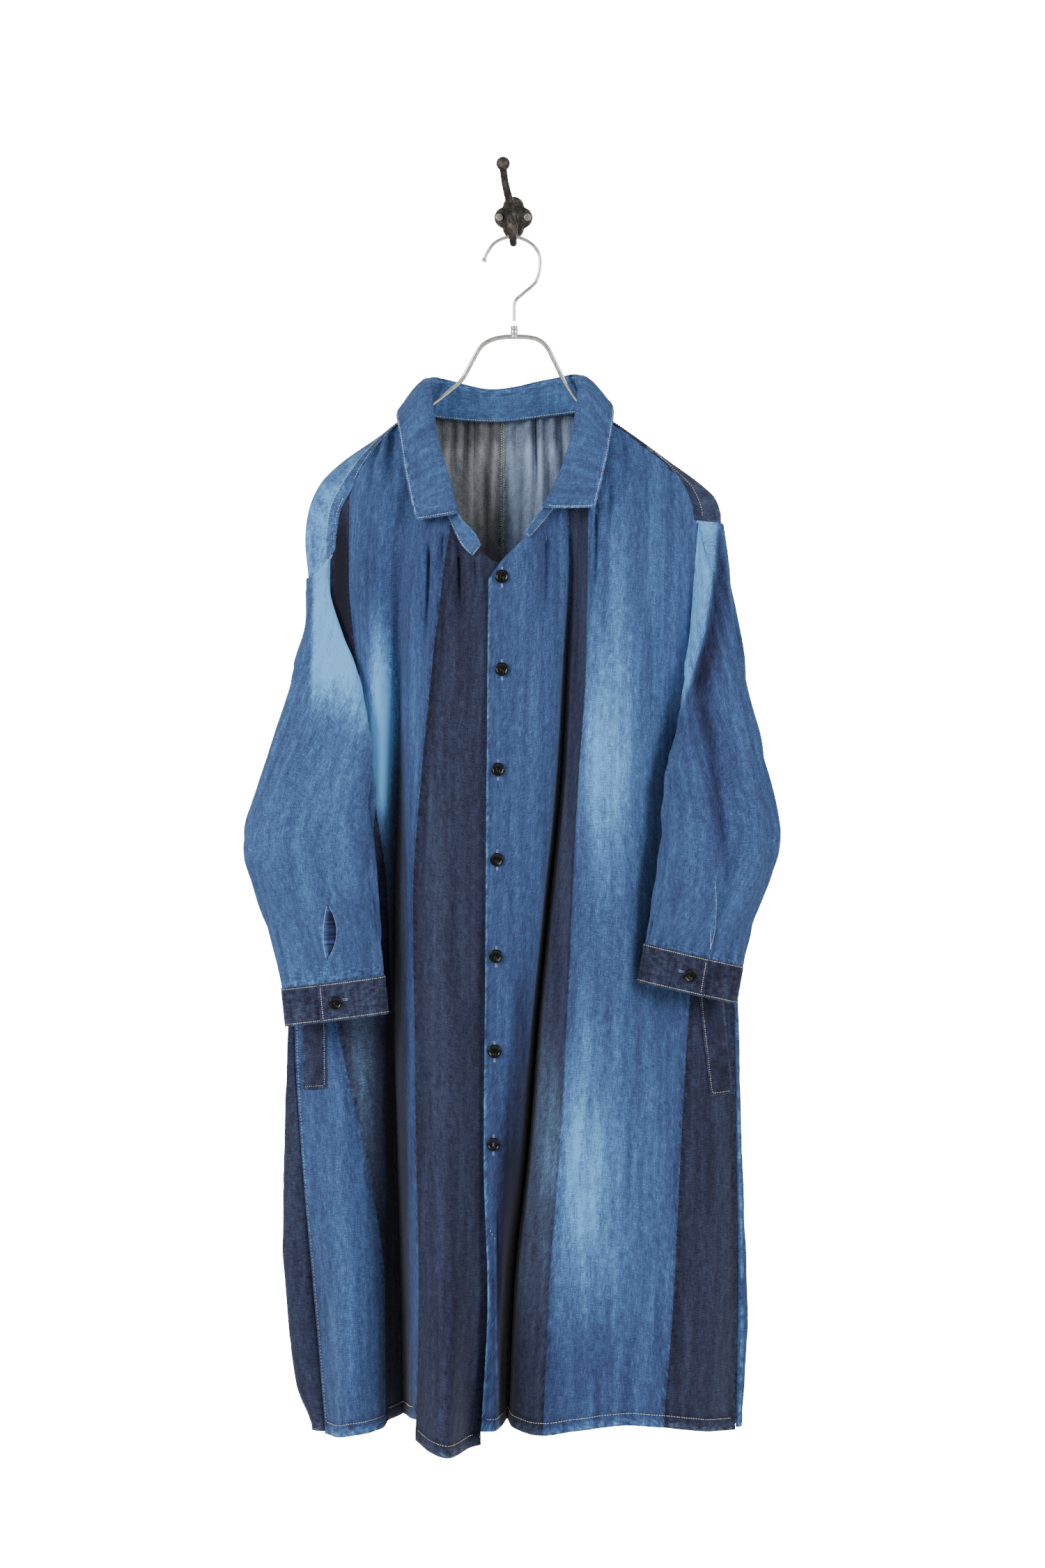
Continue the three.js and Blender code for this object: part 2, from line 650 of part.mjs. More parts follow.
function toManifold(geometry) {
  const keys = new Map();
  const vertices = [];
  const triangles = [];
  const source = geometry.index ? geometry.toNonIndexed() : geometry;
  const position = source.getAttribute("position");
  for (let i = 0; i < position.count; i += 1) {
    const key = [position.getX(i), position.getY(i), position.getZ(i)].map((v) => v.toFixed(4)).join(" ");
    if (!keys.has(key)) {
      keys.set(key, keys.size);
      vertices.push(position.getX(i), position.getY(i), position.getZ(i));
    }
    triangles.push(keys.get(key));
  }
  const kept = [];
  for (let i = 0; i < triangles.length; i += 3) {
    const [a, b, c] = triangles.slice(i, i + 3);
    if (a !== b && b !== c && a !== c) kept.push(a, b, c);
  }
  const mesh = new ManifoldMesh({
    numProp: 3,
    vertProperties: new Float32Array(vertices),
    triVerts: new Uint32Array(kept),
  });
  return new Manifold(mesh);
}

function fromManifold(solid) {
  const mesh = solid.getMesh();
  const positions = [];
  for (let i = 0; i < mesh.vertProperties.length; i += mesh.numProp) {
    positions.push(mesh.vertProperties[i], mesh.vertProperties[i + 1], mesh.vertProperties[i + 2]);
  }
  return geometryOf(positions, Array.from(mesh.triVerts));
}

// Sleeve slit above the cuff: a narrow lens through the front layer
function slitCutter(x, topDrop, endDrop, halfWidth, nearDepth, farDepth) {
  const shape = new THREE.Shape();
  const middle = (topDrop + endDrop) / 2;
  shape.moveTo(x, -topDrop);
  shape.quadraticCurveTo(x + 2 * halfWidth, -middle, x, -endDrop);
  shape.quadraticCurveTo(x - 2 * halfWidth, -middle, x, -topDrop);
  const length = farDepth - nearDepth;
  const geometry = new THREE.ExtrudeGeometry(shape, { depth: length, bevelEnabled: false, curveSegments: 6 });
  geometry.rotateX(Math.PI / 2);
  geometry.translate(0, -nearDepth, 0);
  return geometry;
}

// Button: a dished disc turned on its axis, set on a surface
function buttonGeometry(radius, thick) {
  const profile = [
    [0, 0], [radius * 0.8, 0], [radius, thick * 0.45], [radius * 0.93, thick], [radius * 0.72, thick],
    [radius * 0.55, thick * 0.62], [0, thick * 0.62],
  ].map(([r, y]) => new THREE.Vector2(r, y));
  return new THREE.LatheGeometry(profile, 12);
}

function setOn(geometry, point, normal, lift) {
  const turn = new THREE.Quaternion().setFromUnitVectors(new THREE.Vector3(0, 1, 0), normal);
  geometry.applyQuaternion(turn);
  const seat = point.clone().addScaledVector(normal, lift);
  geometry.translate(seat.x, seat.y, seat.z);
  return geometry;
}

const group = new THREE.Group();
group.name = "patchwork_coat_on_hook";

function add(name, geometry, color, metalness = 0, roughness = 0.9) {
  const material = new THREE.MeshStandardMaterial({ color, metalness, roughness });
  material.name = `${name}_finish`;
  const mesh = new THREE.Mesh(geometry, material);
  mesh.name = name;
  group.add(mesh);
}

const MID_BLUE = 0x5f7894;
const DARK_BLUE = 0x252b3b;
const LIGHT_BLUE = 0x8ba3bd;
const FADED_BLUE = 0x7389a3;
const BUTTON_BLACK = 0x17181a;
const STEEL = 0xb9bbbd;
const IRON = 0x1d1c1b;

// Fronts
const rightGore = {
  depth: rightDepth, from: rightSide.x, to: rightGoreSeam,
  top: () => BODY_ROWS[0], hem: rightHem, cols: 5, topRows: 0,
};
const leftGore = {
  depth: leftDepth, from: leftGoreSeam, to: leftSide.x,
  top: () => BODY_ROWS[0], hem: leftHem, cols: 5, topRows: 0,
};
const leftCentre = {
  depth: leftDepth, from: leftEdge.x, to: leftInsetSeam, top: leftTop, hem: leftHem, cols: 9,
};
add("front_right_gore", strip(rightGore), MID_BLUE);
add("front_right_strip", strip({
  depth: rightDepth, from: rightGoreSeam, to: rightPanelSeam, top: rightTop, hem: rightHem, cols: 6,
}), DARK_BLUE);
add("front_right_panel", strip({
  depth: rightDepth, from: rightPanelSeam, to: rightCentreSeam, top: rightTop, hem: rightHem, cols: 10,
}), MID_BLUE);
add("front_right_centre", strip({
  depth: rightDepth, from: rightCentreSeam, to: RIGHT_FOLDS[5].x, top: rightTop, hem: centreHem, cols: 9,
}), DARK_BLUE);
add("front_left_centre", strip(leftCentre), MID_BLUE);
add("front_left_inset", strip({
  depth: leftDepth, from: leftInsetSeam, to: leftPanelSeam, top: leftTop, hem: leftHem, cols: 5,
}), DARK_BLUE);
add("front_left_panel", strip({
  depth: leftDepth, from: leftPanelSeam, to: leftGoreSeam, top: leftTop, hem: leftHem, cols: 10,
}), FADED_BLUE);
add("front_left_gore", strip(leftGore), DARK_BLUE);

// Sides and back
add("side_right", sideStrip(rightSide, rightBulge, -1, 1308), DARK_BLUE);
add("side_left", sideStrip(leftSide, leftBulge, 1, 1299), MID_BLUE);
add("back_right", strip({
  depth: backDepth, from: (drop) => rightSide.x(drop) + sideReach(-1, drop), to: () => BACK_CENTRE,
  top: backTop, hem: backHem, shares: BACK_SHARES.map((u) => 1 - u).reverse(), topRows: 5, facing: -1,
}), MID_BLUE);
add("back_left", strip({
  depth: backDepth, from: () => BACK_CENTRE, to: (drop) => leftSide.x(drop) + sideReach(1, drop),
  top: backTop, hem: backHem, shares: BACK_SHARES, topRows: 5, facing: -1,
}), FADED_BLUE);

// Shoulders and sleeves
const rightShoulderAt = shoulderLines(rightShoulder, rightDepth);
const leftShoulderAt = shoulderLines(leftShoulder, leftDepth);
add("shoulder_right", shoulderPiece(rightShoulderAt), LIGHT_BLUE);
add("shoulder_left", shoulderPiece(leftShoulderAt), DARK_BLUE);

const rightArmhole = armhole(rightShoulderAt, rightSide, rightBulge, -1, rightDepth, 369);
const leftArmhole = armhole(leftShoulderAt, leftSide, leftBulge, 1, leftDepth, 335);
const rightSleeveAt = sleeveAt(RIGHT_SLEEVE, rightArmhole, -1);
const leftSleeveAt = sleeveAt(LEFT_SLEEVE, leftArmhole, 1);

const rightSlit = toManifold(slitCutter(-194, 750, 803, 6, 82, 130));
const leftSlit = toManifold(slitCutter(207, 718, 788, 4, 86, 130));
add("sleeve_right", fromManifold(toManifold(sleeve(rightSleeveAt, 20)).subtract(rightSlit)), LIGHT_BLUE);
add("sleeve_left", fromManifold(toManifold(sleeve(leftSleeveAt, 20)).subtract(leftSlit)), MID_BLUE);

const rightCuff = cuff(rightSleeveAt, 4);
const leftCuff = cuff(leftSleeveAt, -7);
add("cuff_right", rightCuff.geometry, DARK_BLUE);
add("cuff_left", leftCuff.geometry, DARK_BLUE);

// Collar
add("collar_stand", standGeometry(), MID_BLUE);
add("collar_leaf", leafGeometry(), MID_BLUE);

// Pocket welts
const RIGHT_WELT = [[-229, 850], [-203, 850], [-201, 947], [-226, 949]];
const LEFT_WELT = [[199, 845], [225, 848], [235, 953], [211, 955]];
add("pocket_welt_right", welt(facets(rightGore), RIGHT_WELT), DARK_BLUE);
add("pocket_welt_left", welt(facets(leftGore), LEFT_WELT), DARK_BLUE);

// Buttons down the left front, and one on each cuff
const leftCentreSurface = facets(leftCentre);
BUTTON_DROPS.forEach((drop, k) => {
  const x = BUTTON_X[k];
  const reach = BUTTON_RADIUS;
  const across = leftCentreSurface(x + reach, drop).sub(leftCentreSurface(x - reach, drop));
  const down = leftCentreSurface(x, drop + reach).sub(leftCentreSurface(x, drop - reach));
  const n = across.cross(down).normalize();
  if (n.y > 0) n.negate();
  const seat = leftCentreSurface(x, drop);
  let high = 0;
  for (let a = 0; a < 24; a += 1) {
    const angle = (2 * Math.PI * (a % 12)) / 12;
    const r = a < 12 ? reach * 0.8 : reach * 0.4;
    const p = leftCentreSurface(x + r * Math.cos(angle), drop + r * Math.sin(angle));
    high = Math.max(high, p.sub(seat).dot(n));
  }
  const disc = buttonGeometry(BUTTON_RADIUS, BUTTON_THICK);
  add(`front_button_${k + 1}`, setOn(disc, seat, n, high + CLOTH / 2 + AIR), BUTTON_BLACK, 0, 0.35);
});

function cuffButton(name, cuffPart, column) {
  const row = cuffPart.points[1];
  const along = row[column + 1].clone().sub(row[column]);
  const seat = row[column].clone().lerp(row[column + 1], 0.5);
  const down = cuffPart.points[2][column].clone().sub(cuffPart.points[0][column]);
  const n = along.cross(down).normalize();
  if (n.y > 0) n.negate();
  const lift = CUFF_CLOTH / 2 + 0.6;
  add(name, setOn(buttonGeometry(CUFF_BUTTON_RADIUS, 2.6), seat, n, lift), BUTTON_BLACK, 0, 0.35);
}
cuffButton("cuff_button_right", rightCuff, 28);
cuffButton("cuff_button_left", leftCuff, 28);

// Hanger: arms under the shoulder ridges, a ferrule, and the hook
function underRidge(shoulder, count) {
  const ridge = run(shoulder.ridge);
  const drop = CLOTH / 2 + ARM_AIR + ARM_RADIUS;
  const points = [];
  for (let k = 0; k < count; k += 1) {
    const t = lerp(0.1, 0.47, k / (count - 1));
    const along = ridge(t + 0.01).sub(ridge(t - 0.01));
    const below = new THREE.Vector3(along.z, 0, -along.x).normalize();
    if (below.z > 0) below.negate();
    const p = ridge(t).addScaledVector(below, drop);
    p.y = -HANGER_DEPTH;
    points.push(p);
  }
  return points;
}
const seen = (list) => list.map(([x, drop]) => place(x, drop, HANGER_DEPTH));
const armPath = [
  ...underRidge(rightShoulder, 6).reverse(),
  ...seen([[-90, 211], [-73, 198], [-56, 183], [-44, 162], [-34, 146], [-22, 139]]),
  ...seen([[0, 136], [26, 139], [36, 147], [44, 162], [54, 182], [64, 198], [74, 211], [83, 221.5]]),
  ...underRidge(leftShoulder, 6),
];
add("hanger_arms", rod(armPath, ARM_RADIUS, 6, 48), STEEL, 1, 0.35);
const hookPath = seen([
  [-32, 55], [-28, 45], [-19, 34], [-1, 28], [17, 34], [27, 45],
  [29, 58], [24, 77], [10, 90], [2, 98], [1, 110], [1, 119],
]);
add("hanger_hook", rod(hookPath, HOOK_WIRE, 6, 30), STEEL, 1, 0.3);
const ferrule = new THREE.CylinderGeometry(FERRULE_RADIUS, FERRULE_RADIUS, 13.5, 12);
ferrule.rotateX(Math.PI / 2);
ferrule.translate(1, -HANGER_DEPTH, -126.3);
add("hanger_ferrule", ferrule, STEEL, 1, 0.35);

// Wall hook: a four-lobed plate with one bar that ends in a ball above and a curled tip below
function plateGeometry() {
  const shape = new THREE.Shape();
  const lobes = [[PLATE_REACH_X, 0], [0, PLATE_REACH_Z], [-PLATE_REACH_X, 0], [0, -PLATE_REACH_Z]];
  lobes.forEach(([cx, cz], k) => {
    for (let s = 0; s <= 7; s += 1) {
      const a = (k * Math.PI) / 2 + lerp(-1.75, 1.75, s / 7);
      const r = PLATE_LOBE * 0.98;
      const x = cx * 0.62 + r * Math.cos(a);
      const z = cz * 0.68 + r * Math.sin(a);
      if (k === 0 && s === 0) shape.moveTo(x, z);
      else shape.lineTo(x, z);
    }
  });
  shape.closePath();
  const geometry = new THREE.ExtrudeGeometry(shape, { depth: PLATE_THICK, bevelEnabled: false });
  geometry.rotateX(Math.PI / 2);
  return geometry;
}
const barPath = [
  [-11, -46, 48], [-9, -32, 38], [-5, -17, 24], [-2, -4, 10], [0, 8, 9],
  [0, 21, 20], [0, 31, 33], [0, 34.6, 46], [-1, 29, 57], [-1, 20, 60],
].map(([x, drop, depth]) => place(x, drop, depth));
const ball = new THREE.SphereGeometry(7.6, 10, 7);
ball.translate(-11, -50, 51);
const tip = new THREE.SphereGeometry(5.8, 10, 6);
tip.translate(-1, -60, -19);
const casting = [rod(barPath, PRONG_RADIUS, 8, 26), ball, tip].reduce(
  (solid, geometry) => solid.add(toManifold(geometry)),
  toManifold(plateGeometry()),
);
add("wall_hook", fromManifold(casting), IRON, 0.6, 0.6);
[["wall_hook_screw_right", -SCREW_SPREAD], ["wall_hook_screw_left", SCREW_SPREAD]].forEach(([name, x]) => {
  const head = new THREE.LatheGeometry(
    [[0, 0], [SCREW_RADIUS, 0], [SCREW_RADIUS * 0.8, 1.3], [0, 2]].map(([r, y]) => new THREE.Vector2(r, y)),
    12,
  );
  add(name, setOn(head, place(x, 0, PLATE_THICK), new THREE.Vector3(0, -1, 0), 0.3), IRON, 0.7, 0.5);
});

export default group;
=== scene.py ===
# A patchwork denim coat, buttoned and hanging empty on a steel hanger from a cast wall hook.
# Sizes are millimetres until a mesh is made; the frame and the meshes are in metres.
# A drop is a height below the wall hook's centre and a depth is a distance out from the wall.
# Left and right in the names are the wearer's, so right is at -X.
import math

import bmesh
import bpy
import numpy as np
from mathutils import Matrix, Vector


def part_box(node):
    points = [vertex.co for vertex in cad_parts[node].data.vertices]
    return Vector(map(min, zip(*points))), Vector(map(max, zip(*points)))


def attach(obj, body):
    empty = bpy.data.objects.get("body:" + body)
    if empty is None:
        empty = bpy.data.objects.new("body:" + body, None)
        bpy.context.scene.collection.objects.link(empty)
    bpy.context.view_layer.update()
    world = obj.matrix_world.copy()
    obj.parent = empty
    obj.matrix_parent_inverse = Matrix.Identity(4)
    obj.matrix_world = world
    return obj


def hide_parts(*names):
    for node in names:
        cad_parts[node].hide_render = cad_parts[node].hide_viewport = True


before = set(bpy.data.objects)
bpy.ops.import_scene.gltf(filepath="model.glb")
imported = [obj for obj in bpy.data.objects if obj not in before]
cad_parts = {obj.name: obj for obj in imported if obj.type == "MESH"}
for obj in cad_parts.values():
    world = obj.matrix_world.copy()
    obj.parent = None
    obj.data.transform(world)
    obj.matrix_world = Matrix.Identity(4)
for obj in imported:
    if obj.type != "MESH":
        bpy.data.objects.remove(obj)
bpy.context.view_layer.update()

# Cloth, seams and hems
CLOTH = 1.5
COLLAR_CLOTH = 2.4
CUFF_CLOTH = 2.2
WELT_CLOTH = 1.6
HEM_EXTRA = 1.0
HEM_BAND = 13
GORE_TOP = 655
STRIP_TOP = 260
LOWEST = 1310
SEAM = -0.3
TOP_AIR = -0.6
GRID = 2.9
BACK_GRID = 4.6

# Rows and columns of the grids of points
SIDE_GRID = (190, 22)
SHOULDER_GRID = (41, 90)
SLEEVE_ROWS = 140
SLEEVE_COLUMNS = 150
CUFF_GRID = (23, 181)
STAND_GRID = (18, 221)
LEAF_GRID = (34, 221)
WELT_GRID = (61, 19)

# Camera, from the photograph
CAMERA_AT = (9.9, -3600.0, -619.4)
CAMERA_LENS = 75.52

# Hanger and hook
HANGER_DEPTH = 46
HOOK_WIRE = 1.9
ARM_RADIUS = 2.5
ARM_AIR = 1.15
FERRULE_DROP = 131.3
FERRULE = [
    (-6.75, 3.2), (-6.3, 3.8), (-4, 3.8), (-3.6, 3.4), (-3.2, 3.8),
    (3.2, 3.8), (3.6, 3.4), (4, 3.8), (6.3, 3.8), (6.75, 3.2),
]
PLATE_THICK = 4.5
PLATE_LOBES = ((15, 0), (0, 17), (-15, 0), (0, -17))
LOBE_RADIUS = 12 * 0.98
PRONG_RADIUS = 4.4
PRONG_KNOB = ((-11, -51, 50), 7.6)
PRONG_TIP = ((-1, -60, -19), 5.8)
SCREW_SPREAD = 15.3
SCREW_RADIUS = 4.2
SCREW_RINGS = 20
SCREW_SIDES = 64
SCREW_SLOT = 0.55
SCREW_SLOT_DEPTH = 0.9
CASTING_GRAIN = 0.0009

# Buttons
BUTTON_RADIUS = 7.4
BUTTON_THICK = 3
CUFF_BUTTON_RADIUS = 7.2
CUFF_BUTTON_THICK = 2.6
CUFF_BUTTON_SHARE = 28.5 / 30
BUTTON_DROPS = [398, 497, 604, 700, 803, 904, 1003]
BUTTON_X = [-12, -12, -16, -17, -18, -20, -21]
LOST_BUTTON = (-22, 1100)

# Stage and light
FLOOR_Z = -1.75
FLOOR_REACH = 3
FLOOR_BACK = 0.5
BACKDROP_RADIUS = 10
BACKDROP_HALF = 9
BACKDROP_SIDES = 48
BACKDROP_GLOW = 16.0
WORLD_GLOW = 0.36
LIGHT_AIM = (0, 0, -0.7)
LIGHTS = {
    "key": ((-2.9, -2.3, 0.7), (1.4, 2.2), 150),
    "fill": ((2.9, -2.3, 0.4), (1.4, 2.4), 115),
    "back": ((0.6, 3.4, 0.3), (2.4, 2.0), 90),
}

rng = np.random.default_rng(7)


def lerp(a, b, t):
    return a + (b - a) * t


def ease(start, end, value):
    t = np.clip((np.asarray(value, float) - start) / (end - start), 0, 1)
    return t * t * (3 - 2 * t)


def bell(value, width):
    return np.exp(-((np.asarray(value, float) / width) ** 2))


# Values as arrays of one shape
def together(*values):
    return np.broadcast_arrays(*(np.asarray(value, float) for value in values))


def place(x, drop, depth):
    x, drop, depth = together(x, drop, depth)
    return np.stack([x, -depth, -drop], axis=-1)


# Smooth values through knots along the first axis, never overshooting them
def through(knots, values, x):
    rise = np.diff(values, axis=0) / np.diff(knots, axis=0)
    before = rise[:-1]
    after = rise[1:]
    total = np.where(before + after == 0, 1, before + after)
    inner = np.where(before * after > 0, 2 * before * after / total, 0)
    slope = np.concatenate([rise[:1], inner, rise[-1:]])
    x = np.clip(x, knots[0], knots[-1])
    i = np.clip((x > knots).sum(axis=0) - 1, 0, len(knots) - 2)[None]

    def pick(table, k):
        return np.take_along_axis(table, k, 0)[0]

    width = pick(knots, i + 1) - pick(knots, i)
    t = (x - pick(knots, i)) / width
    a = (1 - t) ** 2
    b = t**2
    start = (1 + 2 * t) * a * pick(values, i) + t * a * width * pick(slope, i)
    return start + b * (3 - 2 * t) * pick(values, i + 1) + b * (t - 1) * width * pick(slope, i + 1)


def curve(xs, ys):
    def read(x):
        x = np.asarray(x, float)
        shape = (len(xs),) + x.shape
        ones = (-1,) + (1,) * x.ndim
        knots = np.broadcast_to(np.array(xs, float).reshape(ones), shape)
        values = np.broadcast_to(np.array(ys, float).reshape(ones), shape)
        return through(knots, values, x)

    return read


# Smooth run through stations of x, drop and depth, read at 0 to 1
def run(stations):
    p = place(*np.array(stations, float).T)
    q = np.vstack([2 * p[0] - p[1], p, 2 * p[-1] - p[-2]])

    def gap(a, b):
        return np.maximum(((a - b) ** 2).sum(-1, keepdims=True) ** 0.25, 1e-4)

    def read(t):
        s = np.clip(np.asarray(t, float), 0, 1) * (len(p) - 1)
        i = np.minimum(s.astype(int), len(p) - 2)
        w = (s - i)[..., None]
        a, b, c, d = q[i], q[i + 1], q[i + 2], q[i + 3]
        first, middle, last = gap(a, b), gap(b, c), gap(c, d)
        m1 = ((b - a) / first - (c - a) / (first + middle) + (c - b) / middle) * middle
        m2 = ((c - b) / middle - (d - b) / (middle + last) + (d - c) / last) * middle
        return b + m1 * w + (3 * c - 3 * b - 2 * m1 - m2) * w**2 + (2 * b - 2 * c + m1 + m2) * w**3

    return read


# Smooth random values between -1 and 1
def noise(u, v, seed):
    u, v = together(u, v)
    iu = np.floor(u).astype(np.int64)
    iv = np.floor(v).astype(np.int64)
    fu = u - iu
    fv = v - iv
    fu = fu * fu * (3 - 2 * fu)
    fv = fv * fv * (3 - 2 * fv)

    def corner(a, b):
        n = (a * 374761393 + b * 668265263 + seed * 974634777) & 0xFFFFFFFF
        n = ((n ^ (n >> 13)) * 1274126177) & 0xFFFFFFFF
        return ((n ^ (n >> 16)) & 0xFFFF) / 32767.5 - 1

    top = lerp(corner(iu, iv), corner(iu + 1, iv), fu)
    end = lerp(corner(iu, iv + 1), corner(iu + 1, iv + 1), fu)
    return lerp(top, end, fv)


# Heights of the sections through the body
DROPS = [245, 310, 390, 490, 610, 745, 880, 1020, 1160, 1310]
UNDERARM = 610


def over_drops(values):
    return curve(DROPS, values)


def fold(x, depth):
    return {"x": over_drops(x), "depth": over_drops(depth)}


# Right front: long folds from the side to the lapped edge
right_side = fold(
    [-190, -189, -197, -191, -182, -221, -236, -228, -215, -202],
    [54, 55, 56, 57, 46, 44, 45, 52, 57, 60],
)
RIGHT_FOLDS = [
    right_side,
    fold(
        [-144, -153, -154, -146, -144, -163, -189, -184, -173, -168],
        [62, 66, 69, 70, 67, 55, 53, 80, 96, 105],
    ),
    fold(
        [-131, -122, -123, -125, -128, -131, -132, -129, -125, -122],
        [62, 64, 60, 55, 51, 47, 45, 45, 47, 50],
    ),
    fold(
        [-119, -108, -109, -112, -115, -118, -118, -115, -111, -108],
        [63, 67, 71, 76, 80, 83, 83, 82, 84, 88],
    ),
    fold([-87, -76, -65, -63, -64, -67, -68, -70, -71, -71], [66, 74, 83, 87, 91, 98, 107, 117, 128, 140]),
    fold([-24, -25, -26, -27, -28, -29, -30, -31, -34, -47], [78, 79, 82, 84, 86, 88, 90, 92, 92, 91]),
    fold([0, -1, -2, -3, -4, -5, -10, -15, -20, -35], [78, 79, 82, 84, 86, 88, 89, 91, 90, 89]),
]
right_gore_seam = over_drops([-190, -189, -197, -191, -182, -211, -190, -159, -139, -138])
right_panel_seam = over_drops([-163, -176, -177, -168, -153, -136, -132, -130, -126, -124])
right_centre_seam = over_drops([-61, -63, -74, -86, -98, -107, -105, -103, -100, -103])

# Left front, from the front edge to the side
left_edge = fold(
    [-24, -25, -26, -27, -28, -29, -30, -31, -27, -34],
    [82, 83, 86, 88, 90, 92, 95, 97, 98, 97],
)
left_valley = fold(
    [47, 56, 61, 57, 51, 38, 25, 14, -1, -7],
    [66, 66, 62, 58, 56, 54, 52, 52, 54, 58],
)
left_side = fold(
    [198, 200, 195, 188, 187, 230, 238, 240, 241, 239],
    [54, 55, 57, 57, 46, 45, 48, 51, 54, 56],
)
LEFT_FOLDS = [
    left_edge,
    fold([6, 8, 10, 8, 5, 0, -6, -12, -16, -21], [74, 80, 88, 92, 94, 95, 96, 97, 97, 95]),
    fold([39, 48, 53, 49, 43, 30, 17, 6, -9, -14.5], [69, 73, 77, 79, 81, 81, 78, 74, 72, 74]),
    left_valley,
    fold([53, 62, 67, 63, 57, 44, 31, 20, 5, -1], [66, 68, 70, 72, 74, 76, 78, 80, 84, 88]),
    fold([86, 86, 86, 84, 78, 72, 66, 60, 51, 43], [66, 72, 78, 84, 90, 95, 101, 107, 113, 118]),
    fold([111, 112, 114, 116, 115, 112, 111, 110, 109, 106], [63, 71, 79, 86, 93, 99, 105, 110, 112, 112]),
    fold([136, 143, 153, 162, 161, 153, 155, 160, 158, 154], [60, 64, 66, 62, 66, 72, 84, 98, 104, 106]),
    fold([160, 173, 175, 175, 178, 198, 209, 210, 207, 203], [58, 60, 63, 61, 52, 54, 62, 76, 86, 90]),
    left_side,
]
left_panel_seam = over_drops([80, 80, 79, 78, 70, 63, 57, 49, 38, 32])
left_gore_seam = over_drops([198, 200, 195, 188, 185, 197, 187, 178, 171, 159])


def left_inset_seam(drop):
    return left_valley["x"](drop) + 2


# Short released tucks: x at top and bottom, drop at top and bottom, how deep and how wide
RIGHT_TUCKS = [
    [-90, -96, 368, 520, 10, 2.8], [-59, -55, 371, 490, 8, 2.6], [-76, -79, 352, 440, 6, 3.0],
    [-42, -40, 378, 450, 5, 3.0], [-146, -160, 250, 400, 6, 5], [-128, -140, 240, 350, 5, 4],
    [-112, -118, 290, 420, 5, 4], [-103, -108, 300, 430, 4, 3.5],
]
LEFT_TUCKS = [
    [35, 31, 354, 480, 7, 2.6], [89, 86, 325, 500, 9, 3.4], [14, 10, 368, 440, 5, 3],
    [168, 186, 280, 460, 7, 6], [140, 150, 262, 400, 5, 5], [118, 122, 250, 380, 4, 4],
    [103, 99, 300, 430, 4, 4],
]


def tuck_depth(tucks, x, drop):
    total = 0
    for x0, x1, top, end, deep, wide in tucks:
        t = (drop - top) / (end - top)
        fade = ease(-0.10, 0.08, t) * (1 - ease(0.10, 1.15, t))
        spread = wide * (1 + 1.8 * np.clip(t, 0, 1))
        off = x - lerp(x0, x1, np.clip(t, 0, 1))
        total = total + deep * fade * (bell(off, spread) - 0.35 * bell(off + 1.9 * spread, 1.3 * spread))
    return total


# Narrow creases where the long folds turn in: the line, how deep, how wide, where they start and end
front_roll = curve([1040, 1100, 1200, 1320], [-18, -20, -19, -16])
RIGHT_CREASES = [(lambda h: RIGHT_FOLDS[2]["x"](h) + 5, 19, 8, 380, 640)]
LEFT_CREASES = [(left_valley["x"], 20, 4, 380, 640), (lambda h: front_roll(h) + 3, 5, 3, 1030, 1110)]


def crease_depth(creases, x, drop):
    total = 0
    for line, deep, wide, start, full in creases:
        total = total + deep * ease(start, full, drop) * bell(x - line(drop), wide)
    return total


# Small soft unevenness of washed cotton, shared by both fronts
def ripple(x, drop, seed):
    long = 1.5 * noise(x / 21, drop / 190, seed) + 0.7 * noise(x / 9, drop / 80, seed + 1)
    slant = noise((x + 0.35 * drop) / 26, (drop - 0.35 * x) / 110, seed + 4)
    long = long + 1.2 * ease(450, 800, drop) * slant
    short = 0.22 * noise(x / 5.5, drop / 15, seed + 2)
    hem = 0.8 * ease(1265, 1295, drop) * noise(x / 6, drop / 40, seed + 3)
    return long + short + hem


def fold_depth(folds, tucks, creases, seed):
    def depth(x, drop):
        x, drop = together(x, drop)
        knots = np.stack([f["x"](drop) for f in folds])
        values = np.stack([f["depth"](drop) for f in folds])
        folded = through(knots, values, x) - crease_depth(creases, x, drop)
        return folded - tuck_depth(tucks, x, drop) + ripple(x, drop, seed)

    depth.creases = creases
    return depth


right_depth = fold_depth(RIGHT_FOLDS, RIGHT_TUCKS, RIGHT_CREASES, 11)
left_depth = fold_depth(LEFT_FOLDS, LEFT_TUCKS, LEFT_CREASES, 11)

# Back: hangs near the wall, gathered into the neck seam and waving at the hem
BACK_CENTRE = -12
GATHERS = 15
GATHER_SHARE = 0.5
GATHER_DEPTH = 2.2
BACK_MIDDLE = 3
BACK_HALF_WIDTH = 220
BACK_SWAY = 4
BACK_WAVE = 118
NECK_DIP = 11
SIDE_REACH = 16
back_base = curve([215, 310, 450, 610, 900, 1310], [27, 25, 21, 19, 17, 18])
back_edge = curve([215, 350, 610, 745, 1310], [8, 12, 14, 9, 6])


